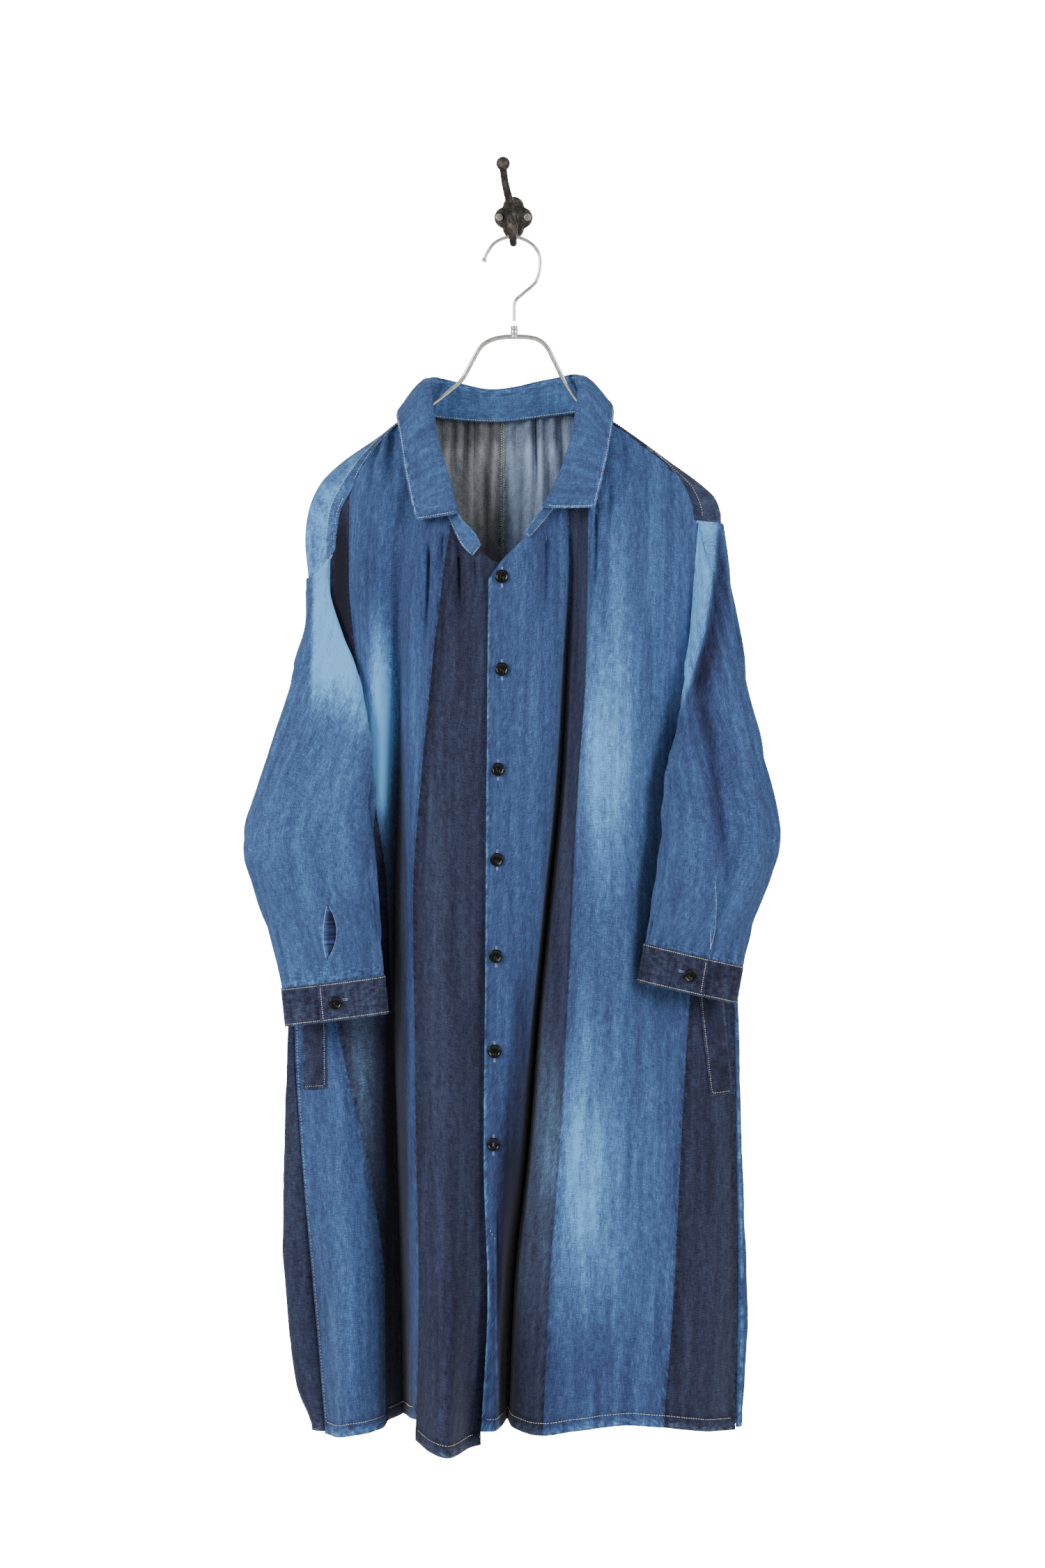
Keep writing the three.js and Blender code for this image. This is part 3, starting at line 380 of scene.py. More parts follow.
def back_depth(x, drop):
    x, drop = together(x, drop)
    side = np.where(x < BACK_CENTRE, right_side["x"](drop), left_side["x"](drop))
    share = (x - BACK_CENTRE) / (side - BACK_CENTRE)
    gather = GATHER_DEPTH * (1 - ease(240, 430, drop)) * (1 - ease(0.43, GATHER_SHARE, share))
    wander = 0.9 * noise(share * 14, drop / 130, 34) + 0.5 * noise(share * 31, drop / 60, 35)
    waves = GATHERS * share / GATHER_SHARE + wander
    sway = BACK_SWAY * ease(420, 1200, drop)
    puckers = 1.8 * noise(x / 6, drop / 60, 32) + 1.4 * noise(x / 11, drop / 90, 33)
    return (
        back_base(drop)
        + back_edge(drop) * (np.abs(x - BACK_MIDDLE) / BACK_HALF_WIDTH) ** 3
        + gather * (1 + 0.7 * noise(share * 22, 0, 36)) * np.cos(np.pi * waves)
        + sway * np.cos(2 * np.pi * (x - BACK_MIDDLE) / BACK_WAVE)
        + 0.5 * noise(x / 17, drop / 150, 31)
        + (1 - ease(240, 480, drop)) * puckers
        - NECK_DIP * (1 - ease(226, 262, drop)) * ease(-108, -96, x) * (1 - ease(70, 84, x))
    )


back_depth.creases = []

# Neckline, shoulder seams and hems, as drops over x
right_top = curve(
    [-197, -190, -175, -161, -142, -123, -108, -98, -81, -61, -35, -17, 0],
    [340, 324.5, 300, 274, 250.5, 233, 230, 264, 306, 341, 370, 383, 385],
)
left_top = curve(
    [-32, -26, -13, 13, 38, 56, 74, 85, 104, 130, 150, 170, 188, 199, 203],
    [405, 400, 382, 356, 330, 302, 264, 230, 233, 249, 264, 281, 299, 319, 335],
)
back_top = curve(
    [-197, -195, -192, -186, -172, -146, -124, -109, -103, -73, -20]
    + [40, 76, 84, 105, 134, 162, 186, 198, 202],
    [369, 347, 325, 305, 285, 262, 240, 222, 212, 210, 212]
    + [206, 207, 216, 240, 264, 286, 304, 319, 337],
)
right_hem = curve([-202, -190, -168, -141, -135, -122, -103], [1318, 1318, 1312, 1311, 1304, 1302, 1296])
centre_hem = curve([-103, -85, -60, -40, -20], [1318, 1326, 1330, 1326, 1322])
left_hem = curve(
    [-34, -14, -6, 4, 22, 60, 117, 156, 194, 235],
    [1309, 1309, 1305, 1307, 1310, 1306, 1300, 1303, 1309, 1315],
)
SIDE_HEMS = {"right": 1316, "left": 1312}
back_hem = curve([-220, -60, 60, 240], [1302, 1299, 1300, 1298])
right_bulge = curve(
    [610, 745, 880, 980, 1120, 1175, 1240, 1275, 1310],
    [-190, -240, -249, -253, -256, -252, -246, -239, -224],
)
left_bulge = curve([610, 745, 860, 980, 1085, 1195, 1240, 1310], [196, 238, 248, 251, 255, 259, 257, 252])

# Shoulders: the ridge over the hanger, the seam in front of it and the seam behind it
SHOULDER_LAP = 1.04
RIGHT_RIDGE = [
    [-108, 216, 46], [-126, 230, 46], [-150, 248, 46], [-183, 271, 46],
    [-206, 293, 47], [-218, 316, 48], [-224, 352, 49], [-221, 396, 49],
]
RIGHT_RIDGE_FRONT = [
    [-108, 230], [-123, 232], [-142, 250], [-160, 274], [-174, 300], [-187, 324], [-191, 347], [-193, 369],
]
RIGHT_RIDGE_BACK = [
    [-106, 219], [-124, 240], [-146, 262], [-172, 285], [-186, 305], [-192, 325], [-195, 347], [-197, 369],
]
LEFT_RIDGE = [
    [84, 214.5, 46], [108, 229, 46], [139, 250, 46], [169, 272, 46],
    [198, 293, 46], [216, 309, 47], [223, 326, 48], [224, 337, 49],
]
LEFT_RIDGE_FRONT = [
    [84.5, 226], [104, 231], [130, 247], [150, 262], [169, 279], [185, 298], [194, 318], [196, 335],
]
LEFT_RIDGE_BACK = [
    [82, 217], [105, 240], [134, 263], [162, 285], [186, 303], [198, 318], [201, 327], [202, 337],
]

# Sleeves: outer edge and inner edge as x, drop, depth, then the swell forward and the lean in x
RIGHT_SLEEVE = [
    [[-224, 426, 54], [-162, 612, 70], 16, 36],
    [[-241, 518, 60], [-152, 623, 80], 18, 11],
    [[-273, 619, 66], [-150, 653, 84], 20, 3],
    [[-289, 683, 68], [-148, 698, 84], 20, 0],
    [[-273, 743, 70], [-146, 746, 84], 18, 0],
    [[-258, 791, 74], [-143, 783, 84], 15, 0],
    [[-247, 840, 78], [-139, 826, 84], 13, 0],
]
LEFT_SLEEVE = [
    [[235, 428, 54], [174, 601, 74], 16, -17],
    [[248, 492, 60], [165, 619, 86], 18, -11],
    [[267, 586, 66], [161, 645, 92], 20, -4],
    [[286, 672, 68], [157, 686, 96], 20, 0],
    [[268, 741, 70], [152, 738, 99], 18, 0],
    [[253, 780, 74], [147, 768, 101], 15, 0],
    [[245, 816, 78], [141, 791, 102], 13, 0],
]
RING_STEPS = [0.16, 0.3, 0.46, 0.62, 0.77, 0.9, 1]
CUFF_DROP = 39
SLIT_TURN = 0.02
SLIT_COLUMNS = 4
CUFF_LAP = 2.5
CUFF_START = 1.72
CUFF_END = 1.27 - 2 * np.pi
RIGHT_CUFF_LEAN = 4
LEFT_CUFF_LEAN = -7

# Collar, from the right front end round the back to the left front end
STAND_FOOT = [
    [-43, 375, 84], [-54, 364, 84], [-65, 341, 81], [-81, 305, 77], [-98, 262, 68], [-107, 228, 64],
    [-109, 216, 48], [-103, 218, 33], [-73, 222, 25], [-20, 225, 22], [40, 219, 23], [76, 215, 33],
    [84, 215, 48], [85, 226, 66], [74, 262, 70], [56, 301, 76], [38, 329, 81], [16, 356, 89],
]
STAND_TOP = [
    [-34, 364, 89], [-40, 352, 90], [-58, 331, 87], [-68, 296, 86], [-80, 254, 81], [-87, 212, 73],
    [-88, 186, 58], [-86, 181, 42], [-70, 182, 24], [-22, 191, 20], [40, 180, 21], [66, 178, 42],
    [69, 182, 58], [69, 208, 73], [60, 258, 82], [46, 296, 87], [31, 324, 89], [11, 352, 94],
]
LEAF_EDGE = [
    [-102, 337, 80], [-108, 312, 79], [-115, 276, 76], [-120, 244, 73], [-122, 225, 62],
    [-117, 216, 40], [-85, 228, 14], [-21, 239, 10], [48, 224, 11], [96, 208, 38],
    [104, 217, 62], [103, 244, 74], [97, 273, 80], [91, 299, 84], [85, 323, 86],
]
LEAF_FROM = 2 / 17
LEAF_TO = 16 / 17


def node_tree(name):
    material = bpy.data.materials.new(name)
    material.use_nodes = True
    tree = material.node_tree
    tree.nodes.clear()
    output = tree.nodes.new("ShaderNodeOutputMaterial")
    shader = tree.nodes.new("ShaderNodeBsdfPrincipled")
    tree.links.new(shader.outputs[0], output.inputs[0])
    return material, tree, shader


def set_inputs(node, values):
    for name, value in values.items():
        node.inputs[name].default_value = value


def math_node(tree, operation, *values):
    node = tree.nodes.new("ShaderNodeMath")
    node.operation = operation
    for socket, value in zip(node.inputs, values):
        if isinstance(value, (int, float)):
            socket.default_value = value
        else:
            tree.links.new(value, socket)
    return node.outputs[0]


# A share of one value on top of another
def add_share(tree, value, share, rest):
    return math_node(tree, "MULTIPLY_ADD", value, share, rest)


def centred(tree, value):
    return math_node(tree, "SUBTRACT", value, 0.5)


def stretched_noise(tree, vector, scale, detail, roughness=0.55):
    mapping = tree.nodes.new("ShaderNodeMapping")
    mapping.inputs["Scale"].default_value = scale
    tree.links.new(vector, mapping.inputs["Vector"])
    texture = tree.nodes.new("ShaderNodeTexNoise")
    set_inputs(texture, {"Scale": 1.0, "Detail": detail, "Roughness": roughness})
    tree.links.new(mapping.outputs[0], texture.inputs["Vector"])
    return texture.outputs["Fac"]


# Even noise over an object's own points
def own_noise(tree, scale, detail, roughness=0.55):
    where = tree.nodes.new("ShaderNodeTexCoord")
    return stretched_noise(tree, where.outputs["Object"], (scale, scale, scale), detail, roughness)


# Value painted on a mesh
def painted(tree, label):
    node = tree.nodes.new("ShaderNodeAttribute")
    node.attribute_name = label
    return node.outputs["Fac"]


def ramp(tree, value, stops):
    node = tree.nodes.new("ShaderNodeValToRGB")
    elements = node.color_ramp.elements
    while len(elements) < len(stops):
        elements.new(0.5)
    for element, (position, colour) in zip(elements, stops):
        element.position = position
        element.color = (*colour, 1)
    tree.links.new(value, node.inputs[0])
    return node.outputs[0]


def mix_colour(tree, factor, first, second):
    node = tree.nodes.new("ShaderNodeMix")
    node.data_type = "RGBA"
    tree.links.new(factor, node.inputs["Factor"])
    tree.links.new(first, node.inputs[6])
    tree.links.new(second, node.inputs[7])
    return node.outputs[2]


def add_bump(tree, shader, height, strength, distance):
    bump = tree.nodes.new("ShaderNodeBump")
    set_inputs(bump, {"Strength": strength, "Distance": distance})
    tree.links.new(height, bump.inputs["Height"])
    tree.links.new(bump.outputs[0], shader.inputs["Normal"])


# Colour and roughness of a small hard or thin thing, both from one noise
def worn(tree, shader, wear, stops, rough_share, rough_base):
    tree.links.new(ramp(tree, wear, stops), shader.inputs["Base Color"])
    tree.links.new(add_share(tree, wear, rough_share, rough_base), shader.inputs["Roughness"])


def scaled(colour, factor):
    return tuple(min(1, factor * c) for c in colour)


# Washed denim: colour runs from deep indigo to pale with the tone painted on each mesh, faded cloth
# together with painted light and shade, broken by warp streaks, weft slubs, grain and mottling
def denim(name, stops, reverse, warp_share=0.62, weft_share=0.60):
    material, tree, shader = node_tree(name)
    uv = tree.nodes.new("ShaderNodeUVMap")
    uv.uv_map = "cloth"
    vector = uv.outputs[0]
    warp = stretched_noise(tree, vector, (95, 11, 1), 3)
    long_warp = stretched_noise(tree, vector, (11, 0.7, 1), 4, 0.65)
    weft = stretched_noise(tree, vector, (13, 105, 1), 3)
    grain = stretched_noise(tree, vector, (120, 150, 1), 2)
    mottle = stretched_noise(tree, vector, (16, 6, 1), 3)
    rope = stretched_noise(tree, vector, (15, 24, 1), 2)
    total = painted(tree, "fade")
    parts = ((warp, warp_share), (long_warp, 0.42), (weft, weft_share), (grain, 0.80), (mottle, 0.32))
    for texture, share in parts:
        total = add_share(tree, centred(tree, texture), share, total)
    roped = math_node(tree, "MULTIPLY", centred(tree, rope), painted(tree, "edges"))
    total = add_share(tree, roped, 1.1, total)
    face = ramp(tree, total, stops)
    back = ramp(tree, total, [(0.20, scaled(reverse, 0.45)), (0.80, scaled(reverse, 1.45))])
    colour = mix_colour(tree, painted(tree, "inside"), face, back)
    tree.links.new(colour, shader.inputs["Base Color"])
    twill = tree.nodes.new("ShaderNodeTexWave")
    twill.bands_direction = "DIAGONAL"
    set_inputs(twill, {"Scale": 26, "Distortion": 1.5, "Detail": 1})
    tree.links.new(vector, twill.inputs["Vector"])
    height = twill.outputs["Fac"]
    for texture, share in ((warp, 0.7), (weft, 0.7), (roped, 4.0)):
        height = add_share(tree, texture, share, height)
    add_bump(tree, shader, height, 0.35, 0.0005)
    tree.links.new(add_share(tree, weft, 0.12, 0.80), shader.inputs["Roughness"])
    set_inputs(shader, {"Specular IOR Level": 0.12, "Sheen Weight": 0.12, "Sheen Roughness": 0.5})
    return material


BLUE_STOPS = [
    (0.00, (0.0080, 0.0094, 0.0275)),
    (0.25, (0.0214, 0.0327, 0.0940)),
    (0.50, (0.0395, 0.0741, 0.1840)),
    (0.75, (0.0720, 0.1700, 0.3700)),
    (1.00, (0.1400, 0.3950, 0.7400)),
]
DARK_STOPS = [
    (0.00, (0.0066, 0.0066, 0.0145)),
    (0.25, (0.0208, 0.0243, 0.0560)),
    (0.50, (0.0430, 0.0565, 0.1050)),
    (0.75, (0.0800, 0.1456, 0.2527)),
    (1.00, (0.1445, 0.3862, 0.6633)),
]
BROWN_REVERSE = (0.215, 0.225, 0.245)
BLUE_REVERSE = (0.245, 0.310, 0.450)
MATERIALS = {
    "mid_denim": denim("mid_denim_cloth", BLUE_STOPS, BLUE_REVERSE),
    "dark_denim": denim("dark_denim_cloth", DARK_STOPS, BROWN_REVERSE, 0.50, 0.66),
    "light_denim": denim("light_denim_cloth", BLUE_STOPS, BLUE_REVERSE),
    "faded_denim": denim("faded_denim_cloth", BLUE_STOPS, BLUE_REVERSE, 0.62, 0.56),
    "collar_cloth": denim("collar_cloth", BLUE_STOPS, BLUE_REVERSE, 0.40, 0.50),
    "brown_backed": denim("brown_backed_cloth", BLUE_STOPS, BROWN_REVERSE),
}


def thread(name, colour):
    material, tree, shader = node_tree(name)
    stops = [(0.3, scaled(colour, 0.6)), (0.7, scaled(colour, 1.25))]
    tree.links.new(ramp(tree, own_noise(tree, 900, 2), stops), shader.inputs["Base Color"])
    shader.inputs["Roughness"].default_value = 0.75
    return material


# Black button material, its colour and polish varying a little in small patches
def horn():
    material, tree, shader = node_tree("black_button")
    stops = [(0.3, (0.002, 0.002, 0.002)), (0.8, (0.004, 0.004, 0.004))]
    worn(tree, shader, own_noise(tree, 90, 3), stops, 0.08, 0.12)
    shader.inputs["Specular IOR Level"].default_value = 0.30
    return material


# Bright drawn wire, dulled in small patches
def steel():
    material, tree, shader = node_tree("drawn_steel")
    stops = [(0.3, (0.66, 0.64, 0.59)), (0.7, (0.92, 0.90, 0.84))]
    worn(tree, shader, own_noise(tree, 300, 4), stops, 0.25, 0.16)
    shader.inputs["Metallic"].default_value = 1.0
    return material


# Cast iron: dark, pitted and worn paler on its high places
def iron(name, stops):
    material, tree, shader = node_tree(name)
    coarse = own_noise(tree, 120, 6, 0.65)
    tone = add_share(tree, own_noise(tree, 700, 3), 0.4, coarse)
    tree.links.new(ramp(tree, tone, stops), shader.inputs["Base Color"])
    add_bump(tree, shader, tone, 0.5, 0.0008)
    shader.inputs["Metallic"].default_value = 0.55
    tree.links.new(add_share(tree, coarse, 0.3, 0.38), shader.inputs["Roughness"])
    return material


CREAM_THREAD = thread("cream_thread", (0.84, 0.81, 0.68))
BLUE_THREAD = thread("blue_thread", (0.30, 0.44, 0.72))
BUTTON_FINISH = horn()
STEEL_FINISH = steel()
IRON_FINISH = iron("cast_iron", [
    (0.45, (0.010, 0.009, 0.008)), (0.68, (0.035, 0.031, 0.026)), (0.92, (0.150, 0.130, 0.105)),
])
SCREW_FINISH = iron("worn_screw", [(0.45, (0.12, 0.10, 0.09)), (0.85, (0.42, 0.36, 0.31))])


# New piece of the object from points in millimetres
def piece(name, points, faces, material, slot, node=None):
    name = f"{name}_look" if node else name
    mesh = bpy.data.meshes.new(name)
    mesh.from_pydata((np.asarray(points) * 0.001).tolist(), [], faces)
    mesh.polygons.foreach_set("use_smooth", np.ones(len(mesh.polygons), bool))
    mesh.update()
    obj = bpy.data.objects.new(name, mesh)
    bpy.context.collection.objects.link(obj)
    mesh.materials.append(material)
    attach(obj, "root")
    if node:
        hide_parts(node)
    return obj


def unit(vectors):
    return vectors / np.maximum(np.linalg.norm(vectors, axis=-1, keepdims=True), 1e-9)


# Points moved along their normals
def push(points, normals, amount):
    return points + normals * amount[..., None]


# Normals of a grid of points; the sign makes them look along a direction or out of a ring
def grid_normals(points, ring=False, towards=None):
    along = np.gradient(points, axis=0)
    if ring:
        across = (np.roll(points, -1, axis=1) - np.roll(points, 1, axis=1)) / 2
    else:
        across = np.gradient(points, axis=1)
    normals = unit(np.cross(along, across))
    out = points - points.mean(axis=1, keepdims=True) if towards is None else np.asarray(towards, float)
    return normals if (normals * out).sum() > 0 else -normals


# Length along a grid's rows or columns, from the middle one
def run_length(points, axis):
    step = np.linalg.norm(np.diff(points, axis=axis), axis=-1)
    total = np.cumsum(step, axis=axis)
    zero = np.zeros_like(np.take(total, [0], axis=axis))
    total = np.concatenate([zero, total], axis=axis)
    return total - np.take(total, [total.shape[axis] // 2], axis=axis)


# Closed wall of cloth about a grid of points. A slit grid is a ring whose ends stay apart in its open rows.
def cloth(
    name, points, normals, thick, fade, slot, material=None, slit=None, uv=None, lined=False, edges=0.0,
):
    rows, cols = points.shape[:2]
    thick = np.broadcast_to(np.asarray(thick, float), (rows, cols))[..., None]
    layers = np.stack([points + normals * thick / 2, points - normals * thick / 2])
    index = np.arange(2 * rows * cols).reshape(2, rows, cols)
    if slit is not None:
        index[:, ~slit, -1] = index[:, ~slit, 0]
    a, b = index
    front = [a[:-1, :-1], a[1:, :-1], a[1:, 1:], a[:-1, 1:]]
    behind = [b[:-1, :-1], b[:-1, 1:], b[1:, 1:], b[1:, :-1]]
    quads = [np.stack([q.ravel() for q in side], axis=1) for side in (front, behind)]
    quads.append(np.stack([a[0, :-1], a[0, 1:], b[0, 1:], b[0, :-1]], axis=1))
    quads.append(np.stack([a[-1, 1:], a[-1, :-1], b[-1, :-1], b[-1, 1:]], axis=1))
    edge = slice(None) if slit is None else slit[:-1] | slit[1:]
    quads.append(np.stack([a[1:, 0], a[:-1, 0], b[:-1, 0], b[1:, 0]], axis=1)[edge])
    quads.append(np.stack([a[:-1, -1], a[1:, -1], b[1:, -1], b[:-1, -1]], axis=1)[edge])
    quads = np.concatenate(quads)
    down = points[1:, :-1] - points[:-1, :-1]
    over = points[:-1, 1:] - points[:-1, :-1]
    if (np.cross(down, over) * normals[:-1, :-1]).sum() < 0:
        quads = quads[:, ::-1]
    used, quads = np.unique(quads, return_inverse=True)
    quads = quads.reshape(-1, 4)
    faces = [tuple(dict.fromkeys(q)) for q in quads.tolist()]
    faces = [f for f in faces if len(f) > 2]
    obj = piece(name, layers.reshape(-1, 3)[used], faces, material or MATERIALS[slot], slot, name)
    mesh = obj.data
    reverse = 0.0 if lined else 1.0
    # The fade attribute holds each mesh's tone: faded cloth, and on many pieces painted light and shade too
    for label, outer, inner in (("fade", fade, fade), ("inside", 0.0, reverse), ("edges", edges, edges)):
        values = np.stack([np.broadcast_to(side, (rows, cols)) for side in (outer, inner)]).ravel()[used]
        layer = mesh.attributes.new(label, "FLOAT", "POINT")
        layer.data.foreach_set("value", values.astype(np.float32))
    across, along = uv if uv is not None else (run_length(points, 1), run_length(points, 0))
    uv = np.stack(np.broadcast_arrays(across, along), axis=-1) / 100
    uv = np.stack([uv, uv]).reshape(-1, 2)[used]
    loops = np.empty(len(mesh.loops), np.int32)
    mesh.loops.foreach_get("vertex_index", loops)
    layer = mesh.uv_layers.new(name="cloth")
    layer.data.foreach_set("uv", uv[loops].astype(np.float32).ravel())
    return obj


# Depth surface's points and outward normals; facing +1 looks away from the wall
def surface(depth, x, drop, facing=1):
    x = np.asarray(x, float)
    drop = np.asarray(drop, float)
    step = 0.8
    dx = (depth(x + step, drop) - depth(x - step, drop)) / (2 * step)
    dh = (depth(x, drop + step) - depth(x, drop - step)) / (2 * step)
    normals = unit(np.stack([-dx, -np.ones_like(dx), dh], axis=-1) * facing)
    return place(x, drop, depth(x, drop)), normals


# Shares of a strip's width, closer together near its seams
def shares(width, step):
    count = max(8, int(round(width / step)))
    t = np.linspace(0, 1, count + 1)
    return t - 0.35 * np.sin(2 * np.pi * t) / (2 * np.pi)


# Sum of soft pale or dark patches, faded cloth and painted shade alike: x, drop, half width, half height,
# amount
def patches(x, drop, spots):
    total = np.zeros_like(x)
    for cx, cz, wide, high, amount in spots:
        wobble = 0.25 * noise(x / 14, drop / 45, cz % 97) + 0.20 * noise(x / 3.6, drop / 50, cz % 89)
        spot = np.exp(-(((x - cx) / wide) ** 2) - ((drop - cz) / high) ** 2)
        total = total + amount * spot * (1 + wobble)
    return total


# One sewn strip between two seams, from its top line, or the gores' level top, to its hem
def strip(
    name, depth, start, end, top, hem, slot, base, spots=(), facing=1, edge_wear=0, material=None, roll=None,
):
    drops = np.linspace(400, 1300, 40)
    step = GRID if facing > 0 else BACK_GRID
    u = shares((end(drops) - start(drops)).max(), step)
    rows = int((LOWEST - (GORE_TOP if top is None else STRIP_TOP)) / (step * 1.15))
    first = np.full_like(u, GORE_TOP if top is None else 320.0)
    final = np.full_like(u, 1300.0)
    for _ in range(14):
        if top is not None:
            first = top(lerp(start(first) + SEAM, end(first) - SEAM, u))
        final = hem(lerp(start(final) + SEAM, end(final) - SEAM, u))
    first = first + TOP_AIR
    v = np.linspace(0, 1, rows + 1)[:, None]
    drop = lerp(first[None], final[None], v)
    x = lerp(start(drop) + SEAM, end(drop) - SEAM, u[None])
    points, normals = surface(depth, x, drop, facing)
    widths = np.linalg.norm(np.diff(points, axis=1, prepend=points[:, :1]), axis=-1)
    from_left = np.cumsum(widths, axis=1)
    from_right = from_left[:, -1:] - from_left
    seam = np.minimum(from_left, from_right)
    pucker = 0.5 + 0.5 * noise(drop / 7, x / 30, 5)
    points = push(points, normals, 0.45 * bell(seam - 2.5, 2.2) * pucker)
    above = final[None] - drop
    band = ease(HEM_BAND + 1.5, HEM_BAND - 1.5, above)
    thick = CLOTH + HEM_EXTRA * band
    tone = base + patches(x, drop, spots)
    tone = tone + 0.07 * noise(x / 11, drop / 170, 3) + 0.06 * noise(x / 4, drop / 80, 4)
    # Darker along both sides of each seam: painted shade; the pale flecks on the seam ridge are worn cloth
    tone = tone - 0.10 * bell(seam, 9) + 0.10 * bell(seam - 3, 1.6) * noise(drop / 5, 0, 8)
    tone = tone + edge_wear * bell(from_left, 2.6) * (0.8 + 0.4 * noise(drop / 9, 0, 6))
    rope = 0.5 + 0.5 * noise(x / 4.5, drop / 9, 9)
    tone = tone + 0.34 * band * rope * bell(above, 7) - 0.10 * bell(above - HEM_BAND, 4)
    # Painted shade in the narrow creases, deeper creases painted darker
    tone = tone - 0.018 * crease_depth(depth.creases, x, drop)
    # Back gathers: painted light where they stand out and painted shade in their hollows, near the neck
    if facing < 0:
        gather_shading = np.clip(depth(x, drop) - back_base(drop), -4, 4)
        tone = tone + 0.07 * gather_shading * (1 - ease(240, 480, drop))
    if roll is not None:
        wear = 0.35 * ease(1040, 1110, drop) * (0.8 + 0.4 * noise(drop / 7, 0, 10))
        tone = tone + wear * bell(x - roll(drop), 1.3)
    roped = np.minimum(0.8 * bell(seam, 5) + bell(above, HEM_BAND), 1)
    return cloth(name, points, normals, thick, tone, slot, material, edges=roped)


# Fronts
strip("front_right_gore", right_depth, right_side["x"], right_gore_seam, None, right_hem, "mid_denim", 0.50)
# Of the dark strip's spots the pale one is faded cloth; the two dark ones are painted shade, beside the
# sleeve at the top and along its edge by the valley
strip(
    "front_right_strip", right_depth, right_gore_seam, right_panel_seam, right_top, right_hem,
    "dark_denim", 0.35,
    [(-158, 970, 20, 150, 0.22), (-184, 410, 16, 90, -0.42), (-133, 1000, 14, 300, -0.34)],
)
# The pale spots on this panel are faded cloth; the long dark spot down its valley is painted shade
strip(
    "front_right_panel", right_depth, right_panel_seam, right_centre_seam, right_top, right_hem,
    "mid_denim", 0.49,
    [
        (-138, 575, 18, 90, 0.74), (-142, 490, 14, 60, 0.20), (-146, 390, 32, 70, -0.12),
        (-121, 1020, 9, 420, -0.55),
    ],
)
strip(
    "front_right_centre", right_depth, right_centre_seam, RIGHT_FOLDS[-1]["x"], right_top, centre_hem,
    "dark_denim", 0.24,
    [(-60, 610, 22, 130, 0.08), (-75, 900, 20, 160, 0.05)],
)
# The dark spots low on this strip are painted shade where it turns away into the fold
strip(
    "front_left_centre", left_depth, left_edge["x"], left_inset_seam, left_top, left_hem, "mid_denim", 0.45,
    [
        (15, 600, 16, 150, 0.05), (20, 960, 18, 130, -0.26), (-2, 1090, 15, 130, -0.66),
        (-7, 1260, 10, 110, -0.60),
    ],
    edge_wear=0.45, roll=front_roll,
)
# The pale spots on the inset are faded cloth; the dark spot at its left seam is painted shadow from the
# centre strip's edge
strip(
    "front_left_inset", left_depth, left_inset_seam, left_panel_seam, left_top, left_hem, "dark_denim", 0.29,
    [(36, 1000, 32, 105, 0.38), (22, 1160, 26, 70, 0.10), (0, 1230, 14, 170, -0.34)],
)
strip(
    "front_left_panel", left_depth, left_panel_seam, left_gore_seam, left_top, left_hem, "faded_denim", 0.50,
    [
        (96, 570, 38, 120, 0.30), (98, 640, 34, 70, 0.10), (80, 1040, 42, 140, 0.32),
        (66, 1000, 26, 90, 0.12), (120, 400, 40, 90, 0.03), (70, 1240, 70, 60, -0.14),
    ],
)
strip("front_left_gore", left_depth, left_gore_seam, left_side["x"], None, left_hem, "dark_denim", 0.25)


# Sides and back
def side_reach(sign, drop):
    return -sign * SIDE_REACH * ease(600, 700, drop)


def side_arc(side, bulge, sign, drop, angle):
    x_front = side["x"](drop)
    x_back = x_front + side_reach(sign, drop)
    t = (1 + np.sin(angle)) / 2
    x = lerp(x_back, x_front, t) + (bulge(drop) - x_front) * np.cos(angle)
    return place(x, drop, lerp(back_depth(x_back, drop), side["depth"](drop), t))


def side_strip(name, side, bulge, sign, hem, slot, base, fray):
    rows, cols = SIDE_GRID
    drop = np.linspace(UNDERARM + 4, hem, rows + 1)[:, None]
    swell = np.maximum(3, np.abs(bulge(drop) - side["x"](drop)))
    most = lerp(0.75, 1, ease(UNDERARM, 745, drop)) * (np.pi / 2)
    reach = np.minimum(most, np.arccos(0.7 / swell))
    angle = reach * np.linspace(1, -1, cols + 1)[None]
    drop = np.broadcast_to(drop, angle.shape)
    points = side_arc(side, bulge, sign, drop, angle)
    normals = grid_normals(points, towards=(sign, 0, 0))
    crease = 0.5 * noise(drop / 26, angle * 2, 41) + 0.3 * noise(drop / 9, angle * 3, 42)
    points = push(points, normals, crease * np.cos(angle) * ease(620, 700, drop))
    band = ease(hem - HEM_BAND - 1.5, hem - HEM_BAND + 1.5, drop)
    tone = base + 0.05 * noise(angle * 4, drop / 90, 43) + 0.2 * bell(drop - hem, 6)
    tone = tone + 0.12 * bell(angle, 0.5) * (0.5 + 0.5 * noise(drop / 8, 0, 44))
    frayed = bell(angle, 0.22) + bell(angle - 1.2, 0.12)
    tone = tone + fray * frayed * (0.6 + 0.7 * noise(drop / 5, 0, 45))
    roped = np.minimum(1, 0.25 * bell(np.abs(angle) - 1.4, 0.5) + bell(drop - hem, HEM_BAND))
    return cloth(name, points, normals, CLOTH + 0.6 * band, tone, slot, edges=roped)


side_strip("side_right", right_side, right_bulge, -1, SIDE_HEMS["right"], "dark_denim", 0.30, 0.0)
side_strip("side_left", left_side, left_bulge, 1, SIDE_HEMS["left"], "mid_denim", 0.44, 0.35)


def back_seam(drop):
    return np.full_like(drop, BACK_CENTRE)


strip(
    "back_right", back_depth, lambda h: right_side["x"](h) + side_reach(-1, h), back_seam,
    back_top, back_hem, "mid_denim", 0.48, facing=-1, material=MATERIALS["brown_backed"],
)
strip(
    "back_left", back_depth, back_seam, lambda h: left_side["x"](h) + side_reach(1, h),
    back_top, back_hem, "faded_denim", 0.55, facing=-1,
)


